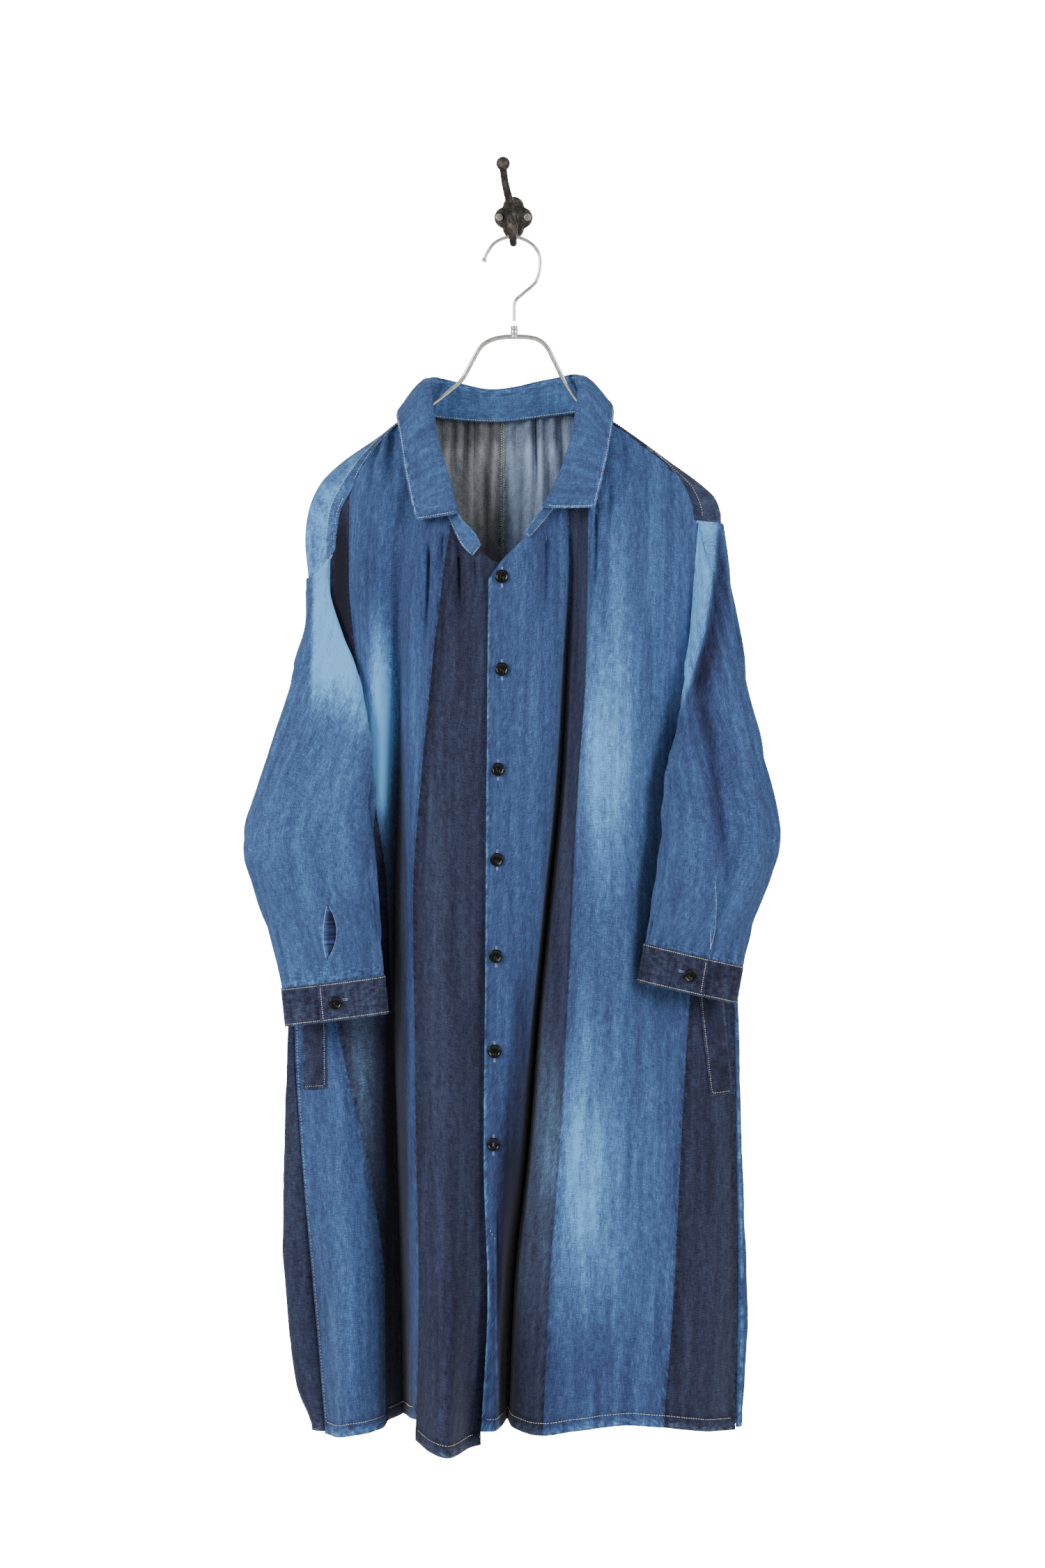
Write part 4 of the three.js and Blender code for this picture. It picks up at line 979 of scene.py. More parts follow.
# Shoulders
def shoulder_lines(ridge, front, back, depth):
    over = run(ridge)
    fore = run([[x, h, float(depth(x, h))] for x, h in front])
    rear = run([[x, h, float(back_depth(x, h))] for x, h in back])

    def read(t, q):
        t, q = together(t, q)
        foot = np.where((q > 0)[..., None], fore(t), rear(t))
        top = over(t)
        angle = (1 - np.abs(q)) * (np.pi / 2)
        x = lerp(foot[..., 0], top[..., 0], 1 - np.abs(q))
        y = lerp(foot[..., 1], top[..., 1], 1 - np.cos(angle))
        z = lerp(foot[..., 2], top[..., 2], np.sin(angle))
        return np.stack([x, y, z], axis=-1)

    return read


def shoulder_piece(name, lines, slot, base, light):
    rows, cols = SHOULDER_GRID
    t = np.linspace(0, 1, cols)
    q = np.broadcast_to(np.linspace(SHOULDER_LAP, -SHOULDER_LAP, rows)[:, None], SHOULDER_GRID)
    points = lines(np.broadcast_to(t, q.shape), q)
    normals = grid_normals(points, towards=(0, 0, 1))
    gather = 0.9 * ease(0.35, 0.95, np.abs(q)) * noise(t[None] * 26, q * 2, 51)
    lap = 0.7 * ease(0.6, 0.95, np.abs(q))
    points = push(points, normals, lap + gather + 0.4 * noise(t[None] * 9, q * 3, 52))
    # Lighter towards the shoulder's end and front, partly faded cloth and partly painted light on the ridge;
    # darker where the front edge turns down, painted shade
    tone = base + light * ease(0.2, 0.8, t)[None] * ease(-0.6, 0.5, q)
    tone = tone + 0.10 * noise(t[None] * 30, q * 3, 53) - light * ease(0.66, 0.74, q)
    return cloth(name, points, normals, CLOTH, tone, slot, uv=(q * 45, t[None] * 190), edges=0.35)


right_shoulder_at = shoulder_lines(RIGHT_RIDGE, RIGHT_RIDGE_FRONT, RIGHT_RIDGE_BACK, right_depth)
left_shoulder_at = shoulder_lines(LEFT_RIDGE, LEFT_RIDGE_FRONT, LEFT_RIDGE_BACK, left_depth)
shoulder_piece("shoulder_right", right_shoulder_at, "light_denim", 0.62, 0.25)
shoulder_piece("shoulder_left", left_shoulder_at, "dark_denim", 0.33, 0.10)


# Sleeves, each slit above its cuff
def armhole(lines, side, bulge, sign, depth, top_drop):
    corner = np.pi / 6
    under = np.pi / 9
    bottom = UNDERARM - 2

    def read(angle):
        angle = np.mod(angle, 2 * np.pi)
        front = angle <= np.pi
        turn = np.where(front, angle, 2 * np.pi - angle)
        way = np.where(front, 1.0, -1.0)
        arch = lines(np.ones_like(angle), way * np.clip(turn / corner, 0, 1))
        drop = lerp(top_drop, bottom - 8, np.clip((turn - corner) / (np.pi - under - corner), 0, 1))
        x_front = side["x"](drop)
        x_back = x_front + side_reach(sign, drop)
        fore = place(x_front, drop, depth(x_front, drop))
        rear = place(x_back, drop, back_depth(x_back, drop))
        line = np.where(front[..., None], fore, rear)
        part = way * np.clip((np.pi - turn) / under, 0, 1)
        arc = side_arc(side, bulge, sign, bottom - 8 * part * part, part * np.pi / 2)
        p = np.where((turn < np.pi - under)[..., None], line, arc)
        p = np.where((turn < corner)[..., None], arch, p)
        p[..., 0] += sign * 1.3
        p[..., 2] += np.where(turn < corner, -1.8, 0.0)
        return p

    return read


def sleeve_form(rings, start, sign, outline):
    def station(k):
        parts = [curve(RING_STEPS, [r[k][axis] for r in rings]) for axis in range(3)]
        return lambda t: place(parts[0](t), parts[1](t), parts[2](t))

    outer = station(0)
    inner = station(1)
    swell = curve(RING_STEPS, [r[2] for r in rings])
    lean = curve(RING_STEPS, [r[3] for r in rings])

    def read(angle, t):
        angle, t = together(angle, t)
        o = outer(t)
        n = inner(t)
        p = (o + n) / 2 + (o - n) / 2 * np.cos(angle)[..., None]
        p[..., 0] += lean(t) * np.sin(angle)
        p[..., 1] -= swell(t) * np.sin(angle) * (1 + 0.12 * np.cos(angle))
        first = start(angle)
        first[..., 0] += sign * 4 * (1 - np.exp(-t / 0.07))
        p = lerp(first, p, ease(0.02, 0.22, t)[..., None])
        past = np.maximum(0, sign * p[..., 0] - outline(-p[..., 2]))
        p[..., 0] -= sign * (past - 1.5 * (1 - np.exp(-past / 1.5)))
        return p

    return read


# Folds of a sleeve along its normals: soft creases, and gathers into the cuff
def sleeve_relief(angle, t, seed):
    c = np.cos(angle)
    s = np.sin(angle)
    creases = 3.0 * noise(c * 3.0 + 9 * t, s * 3.0 + 5 * t, seed)
    creases = creases + 1.9 * noise(c * 7 - 12 * t, s * 7 + 8 * t, seed + 1)
    ease_in = ease(0.04, 0.2, t) * (1 - 0.6 * ease(0.9, 1.0, t))
    cuff = 2.7 * ease(0.80, 0.97, t) * (1 - ease(0.985, 1.0, t)) * noise(angle * 5.5, t * 3, seed + 2)
    return creases * ease_in + cuff


# Where a sleeve's slit runs: its angle and its drop on each ring
def slit_cut(at, t, slit_line, slit_top):
    angle = np.linspace(0.15, np.pi - 0.15, 240)
    front = at(angle[None], t[:, None])
    best = np.abs(front[..., 0] - slit_line(-front[..., 2])).argmin(axis=1)
    cut = angle[best]
    drop = -front[np.arange(len(t)), best, 2]
    top = np.argmax(drop > slit_top)
    cut[:top] = cut[top]
    return np.convolve(np.pad(cut, 4, mode="edge"), np.ones(9) / 9, mode="valid"), drop


# Two rows of seam allowance folded in at a sleeve's head
def head_allowance(points, turn, sign):
    centre = points[:-1].mean(axis=0)
    inward = unit((centre - points) * np.array([0, 1, 1]))
    folded = np.mod(turn, 2 * np.pi)
    folded = np.minimum(folded, 2 * np.pi - folded)
    crown = (1 - ease(0.3, 0.65, folded))[:, None]
    rows = []
    for step_in, step_under in ((8, 4.5), (4, 3.0)):
        sideways = inward * step_under + np.array([-sign * step_in, 0, 0])
        upward = np.array([-sign * step_under, 0, step_in * 1.3])
        rows.append(points + lerp(sideways, upward, crown))
    return np.array(rows)


def sleeve(name, at, sign, slit_line, slit_drops, slit_shape, slot, tone_at, folds, seed):
    t = np.linspace(0, 0.9995, SLEEVE_ROWS + 1)
    cut, cut_drop = slit_cut(at, t, slit_line, slit_drops[0])
    round_arm = np.linspace(0, 2 * np.pi - SLIT_TURN, SLEEVE_COLUMNS - SLIT_COLUMNS)
    under_lip = np.linspace(2 * np.pi - SLIT_TURN, 2 * np.pi, SLIT_COLUMNS + 2)[1:]
    turn = cut[:, None] + np.concatenate([round_arm, under_lip])[None]
    level = np.broadcast_to(t[:, None], turn.shape)
    points = at(turn, level)
    normals = grid_normals(points[:, :-1], ring=True)
    normals = np.concatenate([normals, normals[:, :1]], axis=1)
    relief = sleeve_relief(turn, level, seed)
    drop = -points[..., 2]
    for line, height, wide, start, end in folds:
        shown = ease(start - 25, start + 15, drop) * (1 - ease(end - 40, end + 20, drop))
        shown = shown * ease(0.05, 0.4, np.sin(turn))
        relief = relief + height * shown * bell(points[..., 0] - line(drop), wide)
    points = push(points, normals, relief)
    share = np.clip((cut_drop - slit_drops[0]) / (slit_drops[1] - slit_drops[0]), 0, 1)
    gape = np.sin(np.pi * share) ** 0.8
    open_rows = gape > 0.03
    gape = np.where(open_rows, gape, 0)[:, None]
    off = turn - cut[:, None]
    right_part = bell(off, 0.35) * gape * slit_shape[0]
    left_part = bell(off - 2 * np.pi, 0.35) * gape * slit_shape[1]
    points[..., 0] += right_part + left_part
    tucked = ease(2 * np.pi - SLIT_TURN, 2 * np.pi, off) * gape
    points[..., 0] += tucked * (slit_shape[0] - slit_shape[1] + 2)
    points = push(points, normals, -4.5 * np.sqrt(tucked))
    lip = bell(off, 0.035) + bell(off - 2 * np.pi, 0.035)
    lip = lip * ease(slit_drops[0] - 4, slit_drops[0] + 6, cut_drop)[:, None]
    points = push(points, normals, 0.9 * lip)
    points = np.concatenate([head_allowance(points[0], turn[0], sign), points])
    turn, level, open_rows, tucked, lip = (
        np.concatenate([rows[:1], rows[:1], rows]) for rows in (turn, level, open_rows, tucked, lip)
    )
    normals = grid_normals(points[:, :-1], ring=True)
    normals = np.concatenate([normals, normals[:, -1:]], axis=1)
    # The slit's lips painted lighter, partly worn edge and partly painted highlight; the tucked underlap
    # inside the opening painted dark as painted shade
    tone = tone_at(points[..., 0], -points[..., 2], turn) + 0.16 * lip - 0.50 * ease(0.02, 0.3, tucked)
    tone = tone + 0.05 * noise(turn * 9, level * 8, seed + 5)
    tone = tone + 0.16 * ease(0.985, 1.0, level) * noise(turn * 30, 0, seed)
    uv = (turn * 62, level * 480)
    roped = np.minimum(1, bell(level - 1, 0.035) + 0.8 * bell(level, 0.03) + lip)
    shown = open_rows.nonzero()[0]
    for column in (0, SLEEVE_COLUMNS - SLIT_COLUMNS - 1):
        slit_edges.append((points[shown, column], normals[shown, column], CLOTH / 2))
    return cloth(name, points, normals, CLOTH, tone, slot, slit=open_rows, uv=uv, edges=roped)


right_armhole = armhole(right_shoulder_at, right_side, right_bulge, -1, right_depth, 369)
left_armhole = armhole(left_shoulder_at, left_side, left_bulge, 1, left_depth, 335)
right_outline = curve([300, 356, 435, 503, 587, 678, 700, 900], [226, 226, 220, 238, 263, 289, 292, 292])
left_outline = curve([280, 337, 364, 435, 480, 560, 672, 900], [225, 226, 229, 238, 247, 264, 291, 291])
right_sleeve_at = sleeve_form(RIGHT_SLEEVE, right_armhole, -1, right_outline)
left_sleeve_at = sleeve_form(LEFT_SLEEVE, left_armhole, 1, left_outline)
right_front_fold = curve([360, 435, 520, 600], [-217, -216, -217, -222])
left_front_fold = curve([340, 367, 420, 458, 496, 534], [221, 218.5, 212, 205.5, 195, 183.5])
left_long_fold = curve([470, 515, 612, 731], [204, 203, 214, 229])


# Right sleeve: the flat in front of the fold is lighter, partly faded cloth and partly painted light; the
# inner edge low down is darker, painted shade
def right_sleeve_tone(x, drop, angle):
    front = ease(-0.1, 0.25, np.sin(angle)) * ease(-3, 4, x - right_front_fold(drop))
    streak = 7 * noise(x / 2.2, drop / 90, 63) + 5 * noise(x / 9, drop / 60, 64)
    low = ease(480, 562, drop - 0.5 * (x + 217) + streak)
    inner = 0.13 * ease(-190, -150, x) * ease(540, 700, drop)
    return lerp(lerp(0.55, 1.04, front), 0.55, low) - inner + 0.05 * noise(x / 30, drop / 40, 61)


# Left sleeve: the strip before the fold is lighter, partly faded cloth and partly painted light; shade and
# long_shade are painted shade beside the folds
def left_sleeve_tone(x, drop, angle):
    past = x - left_front_fold(drop)
    front = ease(0, 0.2, np.sin(angle))
    strip_part = (1 - ease(-2, 2, past)) * front * (1 - ease(500, 560, drop))
    shade = 0.30 * bell(past - 10, 12) * front * (1 - ease(470, 570, drop))
    long_part = ease(450, 520, drop) * (1 - ease(640, 740, drop))
    long_shade = 0.30 * bell(x - left_long_fold(drop), 9) * front * long_part
    return 0.475 + 0.46 * strip_part - shade - long_shade + 0.05 * noise(x / 26, drop / 40, 62)


slit_edges = []
right_slit_line = curve([740, 803, 838], [-196, -197, -205])
left_slit_line = curve([700, 720, 799, 815], [213, 212, 208, 207])
sleeve(
    "sleeve_right", right_sleeve_at, -1, right_slit_line, (749, 806), (9, -5),
    "light_denim", right_sleeve_tone,
    [
        (right_front_fold, 3.0, 6, 380, 560),
        (curve([520, 700, 830], [-190, -205, -188]), -3, 8, 560, 740),
        (curve([560, 690, 800], [-236, -252, -232]), 3, 12, 590, 790),
        (curve([600, 800], [-170, -160]), 2.5, 9, 620, 790),
    ],
    71,
)
sleeve(
    "sleeve_left", left_sleeve_at, 1, left_slit_line, (719, 797), (5.5, -1.0),
    "mid_denim", left_sleeve_tone,
    [
        (lambda h: left_front_fold(h) - 6, 3.0, 7, 350, 540),
        (lambda h: left_front_fold(h) + 7, -5.0, 6, 350, 560),
        (left_long_fold, -5.0, 6, 500, 735),
        (lambda h: left_long_fold(h) - 12, 2.5, 8, 520, 735),
        (curve([560, 690, 800], [246, 258, 236]), 3, 10, 590, 790),
        (curve([600, 790], [180, 166]), 2.5, 9, 620, 780),
    ],
    81,
)


# Lapped cuffs: one band that starts under its own end
def cuff_form(at, lean):
    def read(angle, level):
        p = at(np.mod(angle, 2 * np.pi), np.ones_like(angle))
        p[..., 0] += lean * level
        p[..., 2] -= lerp(-CUFF_LAP, CUFF_DROP, level)
        p[..., 1] -= (CUFF_CLOTH + 0.5) * ease(-np.pi, -1.35 * np.pi, angle)
        return p

    return read


def cuff(name, form, base):
    rows, cols = CUFF_GRID
    angle, level = np.meshgrid(np.linspace(CUFF_START, CUFF_END, cols), np.linspace(0, 1, rows))
    points = form(angle, level)
    normals = grid_normals(points)
    points = push(points, normals, 0.9 + 0.3 * noise(angle * 7, level * 4, 91))
    thick = CUFF_CLOTH - 0.9 * bell(level, 0.05) - 0.9 * bell(level - 1, 0.05)
    tone = base + 0.07 * noise(angle * 6, level * 1.5, 92) + 0.06 * noise(angle * 20, level * 3, 93)
    tone = tone + 0.16 * bell(level - 1, 0.06) + 0.12 * bell(level, 0.05)
    return cloth(name, points, normals, thick, tone, "dark_denim", lined=True, edges=0.6)


right_cuff_at = cuff_form(right_sleeve_at, RIGHT_CUFF_LEAN)
left_cuff_at = cuff_form(left_sleeve_at, LEFT_CUFF_LEAN)
cuff("cuff_right", right_cuff_at, 0.29)
cuff("cuff_left", left_cuff_at, 0.22)

# Collar: the stand from the neck seam up to the roll, and the leaf over it and down
stand_foot = run(STAND_FOOT)
stand_top = run(STAND_TOP)
leaf_edge = run(LEAF_EDGE)


def stand_points(t, level):
    foot = stand_foot(t)
    top = stand_top(t)
    length = np.linalg.norm(top - foot, axis=-1)
    share = lerp(-1 / length, 1 - 0.5 / length, level)
    return lerp(foot, top, share[..., None])


def leaf_points(j, level):
    t = lerp(LEAF_FROM, LEAF_TO, j)
    foot = stand_foot(t)
    top = stand_top(t)
    edge = leaf_edge(j)
    along = stand_top(np.minimum(1, t + 0.01)) - stand_top(np.maximum(0, t - 0.01))
    rise = unit(top - foot)
    out = unit(np.cross(along, rise))
    out = np.where(((out * (edge - foot)).sum(-1) < 0)[..., None], -out, out)
    p = lerp(top + rise, edge, level[..., None])
    lift = 4 * ease(0, 0.12, level) + 5 * np.sin(np.pi * level) * (1 - level)
    return p + out * lift[..., None]


def collar_piece(name, form, grid, base, seed):
    rows, cols = grid
    j, level = np.meshgrid(np.linspace(0, 1, cols), np.linspace(0, 1, rows))
    points = form(j, level)
    normals = grid_normals(points)
    puckers = 0.35 * noise(j * 40, level * 3, seed) + 0.2 * noise(j * 110, level * 5, seed + 1)
    points = push(points, normals, puckers)
    edge = np.minimum(np.minimum(j, 1 - j) * 14, 1 - level)
    thick = COLLAR_CLOTH - 0.9 * bell(edge, 0.05)
    tone = base + 0.05 * noise(j * 30, level * 3, seed + 2)
    tone = tone + 0.12 * bell(edge, 0.06) - 0.05 * bell(edge - 0.15, 0.05)
    uv = (j * 560, level * 62)
    roped = 0.25 + 0.75 * bell(edge, 0.16)
    finish = MATERIALS["collar_cloth"]
    return cloth(name, points, normals, thick, tone, "mid_denim", finish, uv=uv, lined=True, edges=roped)


collar_piece("collar_stand", stand_points, STAND_GRID, 0.57, 101)
collar_piece("collar_leaf", leaf_points, LEAF_GRID, 0.52, 111)


# Pocket welts on the side strips
def welt_points(corners, u, v):
    (x0, h0), (x1, h1), (x2, h2), (x3, h3) = corners
    return lerp(lerp(x0, x3, v), lerp(x1, x2, v), u), lerp(lerp(h0, h3, v), lerp(h1, h2, v), u)


RIGHT_WELT = [[-229, 850], [-203, 850], [-201, 947], [-226, 949]]
LEFT_WELT = [[199, 845], [225, 848], [235, 953], [211, 955]]


def welt(name, depth, corners, base, seed):
    rows, cols = WELT_GRID
    u, v = np.meshgrid(np.linspace(0, 1, cols), np.linspace(0, 1, rows))
    x, drop = welt_points(corners, u, v)
    points, normals = surface(depth, x, drop)
    lift = (CLOTH + WELT_CLOTH) / 2 + 0.5
    points = push(points, normals, lift + 0.25 * noise(u * 3, v * 14, seed))
    edge = np.minimum(np.minimum(u, 1 - u) * 26, np.minimum(v, 1 - v) * 97)
    thick = WELT_CLOTH - 0.7 * bell(edge, 1.2)
    tone = base + 0.08 * noise(u * 3, v * 12, seed + 1) + 0.14 * bell(edge, 1.4)
    return cloth(name, points, normals, thick, tone, "dark_denim", edges=0.8 * bell(edge, 5))


welt("pocket_welt_right", right_depth, RIGHT_WELT, 0.27, 121)
welt("pocket_welt_left", left_depth, LEFT_WELT, 0.20, 131)


# Rows of thread: short raised stitches along paths of points and normals
def stitches(name, rows, material, pitch, length, width):
    points = []
    faces = []
    for path, normals, lift in rows:
        step = np.linalg.norm(np.diff(path, axis=0), axis=1)
        at = np.concatenate([[0], np.cumsum(step)])
        centres = np.arange(pitch, at[-1] - pitch / 2, pitch)
        centres = centres + rng.uniform(-0.12, 0.12, len(centres)) * pitch
        for s in centres:
            near = [s - length / 2, s, s + length / 2]
            spot = np.stack([np.interp(near, at, path[:, k]) for k in range(3)], axis=1)
            up = unit(np.array([np.interp(s, at, normals[:, k]) for k in range(3)]))
            along = unit(spot[2] - spot[0])
            side = np.cross(along, up) * width / 2
            middle = spot[1] + up * (lift + 0.1)
            base = len(points)
            points.extend([spot[0] + up * (lift - 0.15), spot[2] + up * (lift - 0.15)])
            points.extend([middle + side, middle + up * 0.35, middle - side, middle - up * 0.35])
            for k in range(4):
                a = base + 2 + k
                b = base + 2 + (k + 1) % 4
                faces.append((base, b, a))
                faces.append((base + 1, a, b))
    return piece(name, points, faces, material, "light_denim")


# Path over a form read at u and v, with its normals turned to look outward
def form_row(form, u, v, out):
    u, v = together(u, v)
    step = 0.004
    du = form(u + step, v) - form(u - step, v)
    dv = form(u, v + step) - form(u, v - step)
    path = form(u, v)
    normals = unit(np.cross(du, dv))
    away = path - np.asarray(out, float)
    return path, np.where(((normals * away).sum(-1) < 0)[..., None], -normals, normals)


NECK_MIDDLE = (-10, -45, -260)
WALL_SIDE = (0, 900, -300)
STAND_SPANS = len(STAND_FOOT) - 1
along = np.linspace(0.012, 0.988, 300)
down = np.linspace(0.06, 0.95, 60)
collar_rows = [form_row(leaf_points, along, 0.955, NECK_MIDDLE)]
for end in (0.006, 0.994):
    collar_rows.append(form_row(leaf_points, end, down, NECK_MIDDLE))
for start, end, count, level in ((6.6, 11.4, 120, 0.05), (0.1, 2.6, 60, 0.08), (15.2, 16.9, 60, 0.08)):
    at = np.linspace(start, end, count) / STAND_SPANS
    collar_rows.append(form_row(stand_points, at, level, WALL_SIDE))
for end in (0.05, 16.95):
    collar_rows.append(form_row(stand_points, end / STAND_SPANS, down, WALL_SIDE))
rows = [(*row, COLLAR_CLOTH / 2) for row in collar_rows]
stitches("collar_stitching", rows, CREAM_THREAD, 2.6, 2.5, 0.85)

rows = []
for lines, fold_rows in ((right_shoulder_at, (0.95, 0.70)), (left_shoulder_at, (0.72,))):
    for q in fold_rows:
        rows.append((*form_row(lines, np.linspace(0.03, 0.97, 160), q, (0, 200, -900)), CLOTH / 2 + 0.9))
stitches("shoulder_stitching", rows, CREAM_THREAD, 2.8, 2.2, 0.7)

rows = []
for at, start, end in ((right_sleeve_at, 0.05, 0.62), (left_sleeve_at, 0.02, 0.55)):
    rows.append((*form_row(at, np.linspace(start, end, 60), 0.022, (0, 300, -600)), CLOTH / 2 + 0.4))
stitches("sleeve_head_stitching", rows, CREAM_THREAD, 2.6, 2.0, 0.6)

rows = []
for start, end, hem, depth in (
    (-200, -139, right_hem, right_depth), (-136, -105, right_hem, right_depth),
    (-101, -42, centre_hem, right_depth), (-30, 233, left_hem, left_depth),
):
    x = np.linspace(start, end, 260)
    rows.append((*surface(depth, x, hem(x) - HEM_BAND), CLOTH / 2 + 0.6))
stitches("hem_stitching", rows, CREAM_THREAD, 2.8, 2.75, 0.8)

drops = np.linspace(860, 1306, 200)
rows = [(*surface(right_depth, right_side["x"](drops) + 2.4, drops), CLOTH / 2 + 0.3)]
stitches("side_stitching", rows, CREAM_THREAD, 3.4, 2.0, 0.8)

rows = []
turn = np.linspace(CUFF_START - 0.02, CUFF_END + 0.02, 260)
lift = CUFF_CLOTH / 2 + 0.9
for at, band in ((right_sleeve_at, right_cuff_at), (left_sleeve_at, left_cuff_at)):
    middle = at(turn, np.ones_like(turn)).mean(axis=0) - np.array([0, 0, CUFF_DROP / 2])
    for level in (0.05, 0.94):
        rows.append((*form_row(band, turn, level, middle), lift))
    rows.append((*form_row(band, CUFF_END + 0.06, np.linspace(0.08, 0.92, 30), middle), lift))
stitches("cuff_stitching", rows, CREAM_THREAD, 2.2, 2.1, 0.85)

stitches("slit_edging", slit_edges, BLUE_THREAD, 1.3, 1.7, 1.3)

rows = []
lift = CLOTH / 2 + WELT_CLOTH + 0.45
long_way = np.linspace(0.02, 0.98, 60)
short_way = np.linspace(0.04, 0.96, 30)
for depth, corners, edge in ((right_depth, RIGHT_WELT, 0.93), (left_depth, LEFT_WELT, 0.07)):
    rows.append((*surface(depth, *welt_points(corners, np.full(60, edge), long_way)), lift))
    rows.append((*surface(depth, *welt_points(corners, short_way, np.full(30, 0.97))), lift))
stitches("welt_stitching", rows, CREAM_THREAD, 2.4, 1.9, 0.8)

# Bar tacks at the tops of the released tucks
rows = []
for depth, tucks in ((right_depth, RIGHT_TUCKS[:2]), (left_depth, LEFT_TUCKS[:2])):
    for tuck in tucks:
        drops = tuck[2] + np.linspace(-2, 6, 12)
        rows.append((*surface(depth, np.full(12, tuck[0]), drops), CLOTH / 2 + 0.2))
stitches("tuck_tacks", rows, CREAM_THREAD, 1.6, 1.7, 0.7)

# Overlocked centre back seam, seen through the neck
turns = np.arange(120)
drops = 226 + 1.35 * turns
rows = [(*surface(back_depth, BACK_CENTRE + 2.2 * (-1.0) ** turns, drops), CLOTH / 2 + 0.5)]
stitches("back_seam_overlock", rows, CREAM_THREAD, 1.9, 2.6, 0.8)

# Threads left where a button is lost, and the frayed corner of the front edge
rows = []
for shift in (-1.6, -0.4, 1.1):
    drops = LOST_BUTTON[1] + np.linspace(-2.6, 2.6, 12) + 3 * shift
    x = LOST_BUTTON[0] + shift + 0.1 * (drops - 1100)
    rows.append((*surface(left_depth, x, drops), CLOTH / 2 + 0.3))
for k in range(16):
    x = -33 + 1.3 * k + rng.uniform(-0.5, 0.5)
    drops = left_hem(x) + np.linspace(-4, rng.uniform(3, 8), 12)
    x = x + rng.uniform(-0.25, 0.25) * (drops - 1305)
    rows.append((*surface(left_depth, x, drops), CLOTH / 2))
stitches("loose_threads", rows, CREAM_THREAD, 2.4, 2.6, 0.55)


# Quads between closed rings of points, from one ring on
def ring_quads(rows, cols, first=0):
    index = np.arange(rows * cols).reshape(rows, cols)
    following = np.roll(index, -1, axis=1)
    around = [index[first:-1], following[first:-1], following[first + 1:], index[first + 1:]]
    return list(map(tuple, np.stack(around, axis=-1).reshape(-1, 4).tolist()))


# The same with both ends closed
def tube_faces(rows, cols):
    ends = [tuple(range(cols))[::-1], tuple(range((rows - 1) * cols, rows * cols))]
    return ring_quads(rows, cols) + ends


# Loose points dropped and every face turned outward
def mend(obj):
    mesh = bmesh.new()
    mesh.from_mesh(obj.data)
    loose = [v for v in mesh.verts if not v.link_faces]
    bmesh.ops.delete(mesh, geom=loose, context="VERTS")
    bmesh.ops.recalc_face_normals(mesh, faces=mesh.faces)
    mesh.to_mesh(obj.data)
    mesh.free()
    return obj


# Buttons: a turned disc with a sunk eye across its middle
def button_points(radius, thick):
    face = np.linspace(0, 0.84, 22)
    rings = np.concatenate([face, [0.88, 0.92, 0.955, 0.98, 0.995, 1.0, 0.985, 0.94, 0.86]])
    dish = 0.80 - 0.10 * bell(face, 0.5) + 0.20 * ease(0.60, 0.82, face)
    height = np.concatenate([dish, [1.0, 0.97, 0.91, 0.82, 0.70, 0.52, 0.32, 0.14, 0.0]]) * thick
    angle = np.linspace(0, 2 * np.pi, 64, endpoint=False)
    r, a = np.meshgrid(rings * radius, angle, indexing="ij")
    z = np.broadcast_to(height[:, None], r.shape).copy()
    x = r * np.cos(a)
    y = r * np.sin(a)
    eye = np.hypot(x / (0.20 * radius), y / (0.56 * radius))
    z = z - np.where(r < 0.85 * radius, 0.45 * thick * (1 - ease(0.55, 1.15, eye)), 0)
    return np.stack([x, y, z], axis=-1)


def seat(points, at, up):
    up = unit(np.asarray(up, float))
    right = unit(np.cross(np.array([0, 0, 1.0]), -up))
    high = np.cross(up, right)
    return at + points[..., :1] * right + points[..., 1:2] * high + points[..., 2:] * up


def button(name, radius, thick, at, up, turn):
    p = button_points(radius, thick)
    c, s = math.cos(turn), math.sin(turn)
    p = np.stack([p[..., 0] * c - p[..., 1] * s, p[..., 0] * s + p[..., 1] * c, p[..., 2]], axis=-1)
    rows, cols = p.shape[:2]
    points = seat(p, at, up).reshape(-1, 3)
    faces = ring_quads(rows, cols, 1)
    faces.extend((0, cols + j, cols + (j + 1) % cols) for j in range(cols))
    faces = [face[::-1] for face in faces]
    faces.append(tuple(range((rows - 1) * cols, rows * cols)))
    return mend(piece(name, points, faces, BUTTON_FINISH, "button", name))


# Points and faces of a round bar along a path, closed at both ends
def rod(path, radius, sides):
    path = np.asarray(path, float)
    radius = np.broadcast_to(np.asarray(radius, float), (len(path),))
    along = unit(np.gradient(path, axis=0))
    side = np.cross(along[0], [0, 0, 1.0])
    if np.linalg.norm(side) < 0.1:
        side = np.cross(along[0], [1.0, 0, 0])
    sides_at = []
    for direction in along:
        side = unit(side - direction * np.dot(side, direction))
        sides_at.append(side)
    side = np.array(sides_at)
    up = np.cross(along, side)
    angle = np.linspace(0, 2 * np.pi, sides, endpoint=False)
    ring = side[:, None] * np.cos(angle)[None, :, None] + up[:, None] * np.sin(angle)[None, :, None]
    points = (path[:, None] + ring * radius[:, None, None]).reshape(-1, 3)
    return points, tube_faces(len(path), sides)


def wire(name, path, radius, sides):
    return piece(name, *rod(path, radius, sides), STEEL_FINISH, "wire", name)


# Middle of a box given in metres, in millimetres
def box_middle(low, high):
    return (np.array(low) + np.array(high)) * 500


